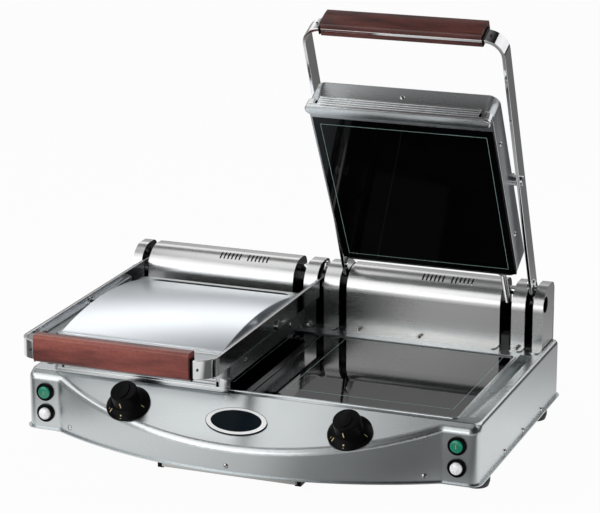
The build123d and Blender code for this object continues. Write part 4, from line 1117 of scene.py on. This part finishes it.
@dataclass
class PadRibs(Dressing):
    """Fine ribs pressed along the front of each lid, over a smooth rounded nose."""

    half_length: float = 0.1065
    rib_levels: tuple[float, ...] = (0.1205, 0.1165, 0.1125, 0.1085)
    rib_height: float = 0.0026
    proud: float = 0.0011
    sunk: float = 0.0002
    rib_rounding: float = 0.000495
    end_steps: int = 16
    nose_half: float = 0.1226
    nose_radius: float = 0.0071
    nose_middle: float = -0.1805
    nose_levels: tuple[float, float] = (0.10135, 0.1074)
    ear_start: float = 0.1118
    ear_inset: float = 0.0002
    ear_levels: tuple[float, float] = (0.1040, 0.1192)
    rounding: float = 0.0023

    def slab(self, piece: Piece, points: Outline, levels: tuple[float, float]) -> None:
        """Add a flat form with softened rims.

        Args:
            piece: The piece being made.
            points: Its outline seen from above.
            levels: Its bottom and top.
        """
        foot = [piece.mesh.verts.new((x, y, levels[0])) for x, y in points]
        head = [piece.mesh.verts.new((x, y, levels[1])) for x, y in points]
        rims = []
        for ring in (foot[::-1], head):
            rims += piece.mesh.faces.new(ring).edges[:]
        for step, vert in enumerate(foot):
            after = (step + 1) % len(foot)
            piece.mesh.faces.new((vert, foot[after], head[after], head[step]))
        piece.soften(rims, self.rounding, 4)

    def end(self, centre: float, turn: int, inset: float) -> Outline:
        """Outline of one round end, from its front to its rear.

        Args:
            centre: Where the lid's middle is.
            turn: Minus one for the left end, one for the right end.
            inset: How far it lies inside the nose's own outline.

        Returns:
            The points.
        """
        radius = self.nose_radius - inset
        middle = centre + turn * (self.nose_half - self.nose_radius)
        angles = [pi * step / self.end_steps - pi / 2 for step in range(self.end_steps + 1)]
        return [(middle + turn * radius * cos(a), self.nose_middle + radius * sin(a)) for a in angles]

    def build(self) -> None:
        """Make the ribs and noses of both lids."""
        for side in Side:
            middle = LAYOUT.middle(side)
            ribs = Piece(f"pad_ribs_{side.word}")
            for level in self.rib_levels:
                spot = Matrix.Translation((middle, LAYOUT.lid_front - self.proud / 2 + self.sunk, level))
                ribs.bar((2 * self.half_length, self.proud, self.rib_height), spot, self.rib_rounding)
            self.slab(ribs, self.end(middle, 1, 0.0) + self.end(middle, -1, 0.0)[::-1], self.nose_levels)
            for turn in (-1, 1):
                tip = self.end(middle, turn, self.ear_inset)
                start = middle + turn * self.ear_start
                outline = [(start, tip[0][1]), *tip, (start, tip[-1][1])]
                self.slab(ribs, outline if turn > 0 else outline[::-1], self.ear_levels)
            ribs.move(LAYOUT.plate(side))
            ribs.finish(f"lid_plate_{side.word}", [self.finishes.rib_steel])


@dataclass
class GripFittings(Dressing):
    """Black end washers and the small bar screws beside each wooden grip."""

    half_length: float = 0.106
    cap: float = 0.0022
    cap_depth: float = 0.0105
    cap_height: float = 0.029
    cap_edge: float = 0.0008
    bar_front: float = -0.265
    bar_bottom: float = 0.1425
    bar_height: float = 0.0245
    bar_thickness: float = 0.0045
    screw_offset: float = 0.1145
    screw_radius: float = 0.0017
    screw_shoulder: tuple[float, float] = (0.0015, 0.0004)
    screw_height: float = 0.0006

    def build(self) -> None:
        """Make the washers and screws of both lids."""
        centre_y = self.bar_front + self.bar_thickness / 2
        centre_z = self.bar_bottom + self.bar_height / 2
        screw = [(0.0, 0.0), (self.screw_radius, 0.0), self.screw_shoulder, (0.0, self.screw_height)]
        for side in Side:
            middle = LAYOUT.middle(side)
            caps = Piece(f"grip_end_caps_{side.word}")
            dots = Piece(f"grip_bar_screws_{side.word}")
            for turn in (-1, 1):
                spot = Vector((middle + turn * (self.half_length + self.cap / 2), centre_y, centre_z))
                size = (self.cap, self.cap_depth, self.cap_height)
                caps.bar(size, Matrix.Translation(spot), self.cap_edge)
                place = Matrix.Translation((middle + turn * self.screw_offset, self.bar_front, centre_z))
                dots.move(place @ Matrix.Rotation(pi / 2, 4, "X"), dots.turned(screw, steps=24))
            caps.move(LAYOUT.opening(side))
            caps.finish(f"lid_arms_{side.word}", [self.finishes.plastic])
            dots.move(LAYOUT.opening(side))
            dots.finish(f"lid_arms_{side.word}", [self.finishes.coated], sharp=40.0)


@dataclass
class FlexibleConduit(Dressing):
    """Ribbed flexible conduit with a nut, behind each lid."""

    offset: float = 0.099
    height: float = 0.1215
    reach: float = 0.057
    radius: float = 0.004
    groove_radius: float = 0.00344
    mouth_radius: float = 0.0028
    mouth_depth: float = 0.002
    sunk: float = 0.001
    rib: float = 0.0019
    crest: tuple[float, float] = (0.3, 0.7)
    nut_length: float = 0.005
    nut_radius: float = 0.0065

    def build(self) -> None:
        """Make both conduits."""
        for side in Side:
            hose = Piece(f"ribbed_conduit_{side.word}")
            points = [(0.0, -self.sunk), (self.groove_radius, -self.sunk)]
            for step in range(int(self.reach / self.rib)):
                start = step * self.rib
                points.append((self.groove_radius, start))
                points += [(self.radius, start + self.rib * share) for share in self.crest]
            points += [(self.groove_radius, self.reach), (self.mouth_radius, self.reach)]
            hose.turned([*points, (0.0, self.reach - self.mouth_depth)], steps=28)
            hose.disc((2 * self.nut_radius, 2 * self.nut_radius), self.nut_length, steps=6)
            x = LAYOUT.middle(side) + self.offset
            spot = Matrix.Translation((x, LAYOUT.lid_rear, self.height))
            hose.move(spot @ Matrix.Rotation(-pi / 2, 4, "X"))
            hose.move(LAYOUT.plate(side))
            made = hose.finish(f"lid_plate_{side.word}", [self.finishes.screw], sharp=40.0)
            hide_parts(f"conduit_{side.word}")


def greys(stops: Outline) -> list[tuple[float, Colour]]:
    """Ramp stops in plain greys, from the place and level of each."""
    return [(position, (level, level, level)) for position, level in stops]


@dataclass(frozen=True)
class Softbox:
    """One soft area lamp that faces the grill, with its power in watts."""

    name: str
    spot: tuple[float, float, float]
    size: tuple[float, float]
    power: float
    aim_height: float = 0.12

    def hang(self) -> None:
        """Make the lamp and aim it."""
        data = bpy.data.lights.new(self.name, "AREA")
        data.shape = "RECTANGLE"
        data.size, data.size_y = self.size
        data.energy = self.power
        made = linked(self.name, data)
        made.location = self.spot
        aim = Vector((0, LAYOUT.footprint_shift, self.aim_height)) - Vector(self.spot)
        made.rotation_euler = aim.to_track_quat("-Z", "Y").to_euler()


@dataclass
class Studio:
    """White studio: floor, soft lamps, a graded surround and the camera."""

    focal: float = 2477.93
    image_width: float = 600.0
    sensor_width: float = 36.0
    azimuth: float = 21.15
    elevation: float = 16.24
    roll: float = -0.12
    distance: float = 3.24323
    sight: float = 50.0
    aim_height: float = 0.23161
    floor_half: float = 6.0
    softboxes: tuple[Softbox, ...] = (
        Softbox("key_softbox", (-1.0, -1.2, 1.25), (1.8, 1.3), 10.0),
        Softbox("slope_softbox", (-0.5, 0.05, 1.25), (0.9, 0.5), 1.5),
        Softbox("back_softbox", (0.75, 0.8, 0.9), (1.2, 0.9), 4.0),
        Softbox("cover_softbox", (-0.8, 1.25, 0.98), (1.1, 0.45), 1.2),
        Softbox("front_softbox", (-0.95, -2.5, 0.6), (2.0, 0.9), 12.0),
    )

    def floor_finish(self) -> bpy.types.Material:
        """Build the floor's material: white to the camera, and graded where the metal mirrors it.

        Returns:
            The material.
        """
        graph = Surface("studio_floor")
        speck = graph.noise(graph.place(), 3.0, 2.0)
        graph.set(Base_Color=graph.ramp(speck, greys([(0.3, 0.60), (0.7, 0.62)])), Roughness=0.9)
        across, depth = (graph.part(graph.place(), axis) for axis in "XY")
        # What the metal mirrors of the floor: before the grill from left to right, behind it from the
        # grill to the rear, and plain white farther ahead.
        before = graph.ramp(graph.span(across, 0.0, 1.0, -0.6, 0.6), greys([
            (0.10, 0.12), (0.16, 0.25), (0.225, 1.0), (0.30, 1.0), (0.42, 0.82), (0.51, 0.66), (0.58, 0.28),
            (0.72, 0.12)]))
        behind = graph.ramp(graph.span(depth, 0.0, 1.0, -0.4, 1.0), greys([
            (0.20, 1.0), (0.37, 1.0), (0.55, 0.52), (0.72, 0.34), (0.95, 0.16)]))
        graded = graph.tint(graph.span(depth, 0.0, 1.0, -0.24, -0.12), before, behind)
        graded = graph.tint(graph.span(depth, 1.0, 0.0, -0.64, -0.52), graded, (0.95, 0.95, 0.95))
        rays = graph.add("ShaderNodeLightPath").outputs
        seen = rays["Is Camera Ray"]
        glow = graph.add("ShaderNodeEmission", {"Color": graph.tint(seen, graded, (1.0, 1.0, 1.0))})
        mirrored = graph.math("MAXIMUM", rays["Is Glossy Ray"], rays["Is Transmission Ray"])
        share = graph.blend(seen, graph.span(mirrored, 0.0, 0.95), graph.span(seen, 0.0, 0.96))
        mix = graph.add("ShaderNodeMixShader", {0: share, 1: graph.shader.outputs["BSDF"],
                                                2: glow.outputs["Emission"]})
        graph.join(mix.outputs["Shader"], graph.output.inputs["Surface"])
        return graph.material

    def floor(self) -> None:
        """Lay the pale floor that keeps a soft shadow."""
        mesh = bmesh.new()
        bmesh.ops.create_grid(mesh, x_segments=2, y_segments=2, size=self.floor_half)
        data = bpy.data.meshes.new("studio_floor")
        mesh.to_mesh(data)
        mesh.free()
        data.materials.append(self.floor_finish())
        linked("studio_floor", data)

    def surround(self) -> None:
        """Grade the world that the metal mirrors: a bright band half way up, darker below and above it."""
        world = bpy.data.worlds.new("studio_surround")
        bpy.context.scene.world = world
        graph = Graph(world)
        where = graph.add("ShaderNodeTexCoord").outputs["Generated"]
        across, depth, height = (graph.part(where, axis) for axis in "XYZ")
        # Levels from straight down to straight up.
        graded = graph.ramp(graph.span(height, 0.0, 1.0, -1.0), greys([
            (0.0, 0.6), (0.5, 0.38), (0.61, 0.26), (0.645, 0.30), (0.69, 0.85), (0.75, 1.0), (0.81, 0.55),
            (0.87, 0.13), (0.94, 0.15), (0.965, 0.34), (1.0, 0.50)]))
        flank = graph.span(across, 1.0, 0.10, -0.1, 0.3)
        front = graph.span(depth, 0.58, 1.0, -0.3, 0.15)
        sector = graph.math("MULTIPLY", flank, front)
        shaded = graph.add("ShaderNodeVectorMath", {0: graded, "Scale": sector}, operation="SCALE")
        rays = graph.add("ShaderNodeLightPath").outputs
        soft = graph.span(height, 0.74, 0.46, 0.3, 0.95)
        lighting = graph.tint(rays["Is Diffuse Ray"], shaded.outputs["Vector"], soft)
        shown = graph.tint(rays["Is Camera Ray"], lighting, (1.0, 1.0, 1.0))
        back = graph.add("ShaderNodeBackground", {"Color": shown})
        graph.add("ShaderNodeOutputWorld", {"Surface": back.outputs["Background"]})

    def camera(self) -> None:
        """Set the camera where the photograph was taken from."""
        data = bpy.data.cameras.new("photo_camera")
        data.sensor_width = self.sensor_width
        data.sensor_fit = "HORIZONTAL"
        data.lens = self.focal * self.sensor_width / self.image_width
        data.clip_end = self.sight
        made = linked("photo_camera", data)
        turn, rise = radians(self.azimuth), radians(self.elevation)
        aim = Vector((0, LAYOUT.footprint_shift, self.aim_height))
        away = Vector((sin(turn) * cos(rise), -cos(turn) * cos(rise), sin(rise)))
        look = (-away).to_track_quat("-Z", "Y").to_matrix().to_4x4()
        spot = Matrix.Translation(aim + away * self.distance)
        made.matrix_world = spot @ look @ Matrix.Rotation(radians(self.roll), 4, "Z")
        bpy.context.scene.camera = made

    def build(self) -> None:
        """Set up the whole studio."""
        bpy.context.scene.view_settings.view_transform = "Standard"
        self.floor()
        self.surround()
        for softbox in self.softboxes:
            softbox.hang()
        self.camera()


def dress_solids(finishes: Finishes) -> None:
    """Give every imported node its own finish.

    Args:
        finishes: The grill's finishes.
    """
    for name, node in sorted(frame["nodes"].items()):
        material = finishes.for_node(name)
        node.data.materials.clear()
        node.data.materials.append(material)
        LOG.info("%s is finished in %s", name, material.name)


def main() -> None:
    """Dress the solids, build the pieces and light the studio."""
    logging.basicConfig(level=logging.INFO, format="%(name)s: %(message)s")
    finishes = Finishes()
    dress_solids(finishes)
    for kind in (GlassPrints, LidCovers, ControlKnob, FrontSwitches, OvalBadge, ScrewRecessShades, PadRibs,
                 GripFittings, FlexibleConduit):
        kind(finishes).build()
    Studio().build()


if __name__ == "__main__":
    main()
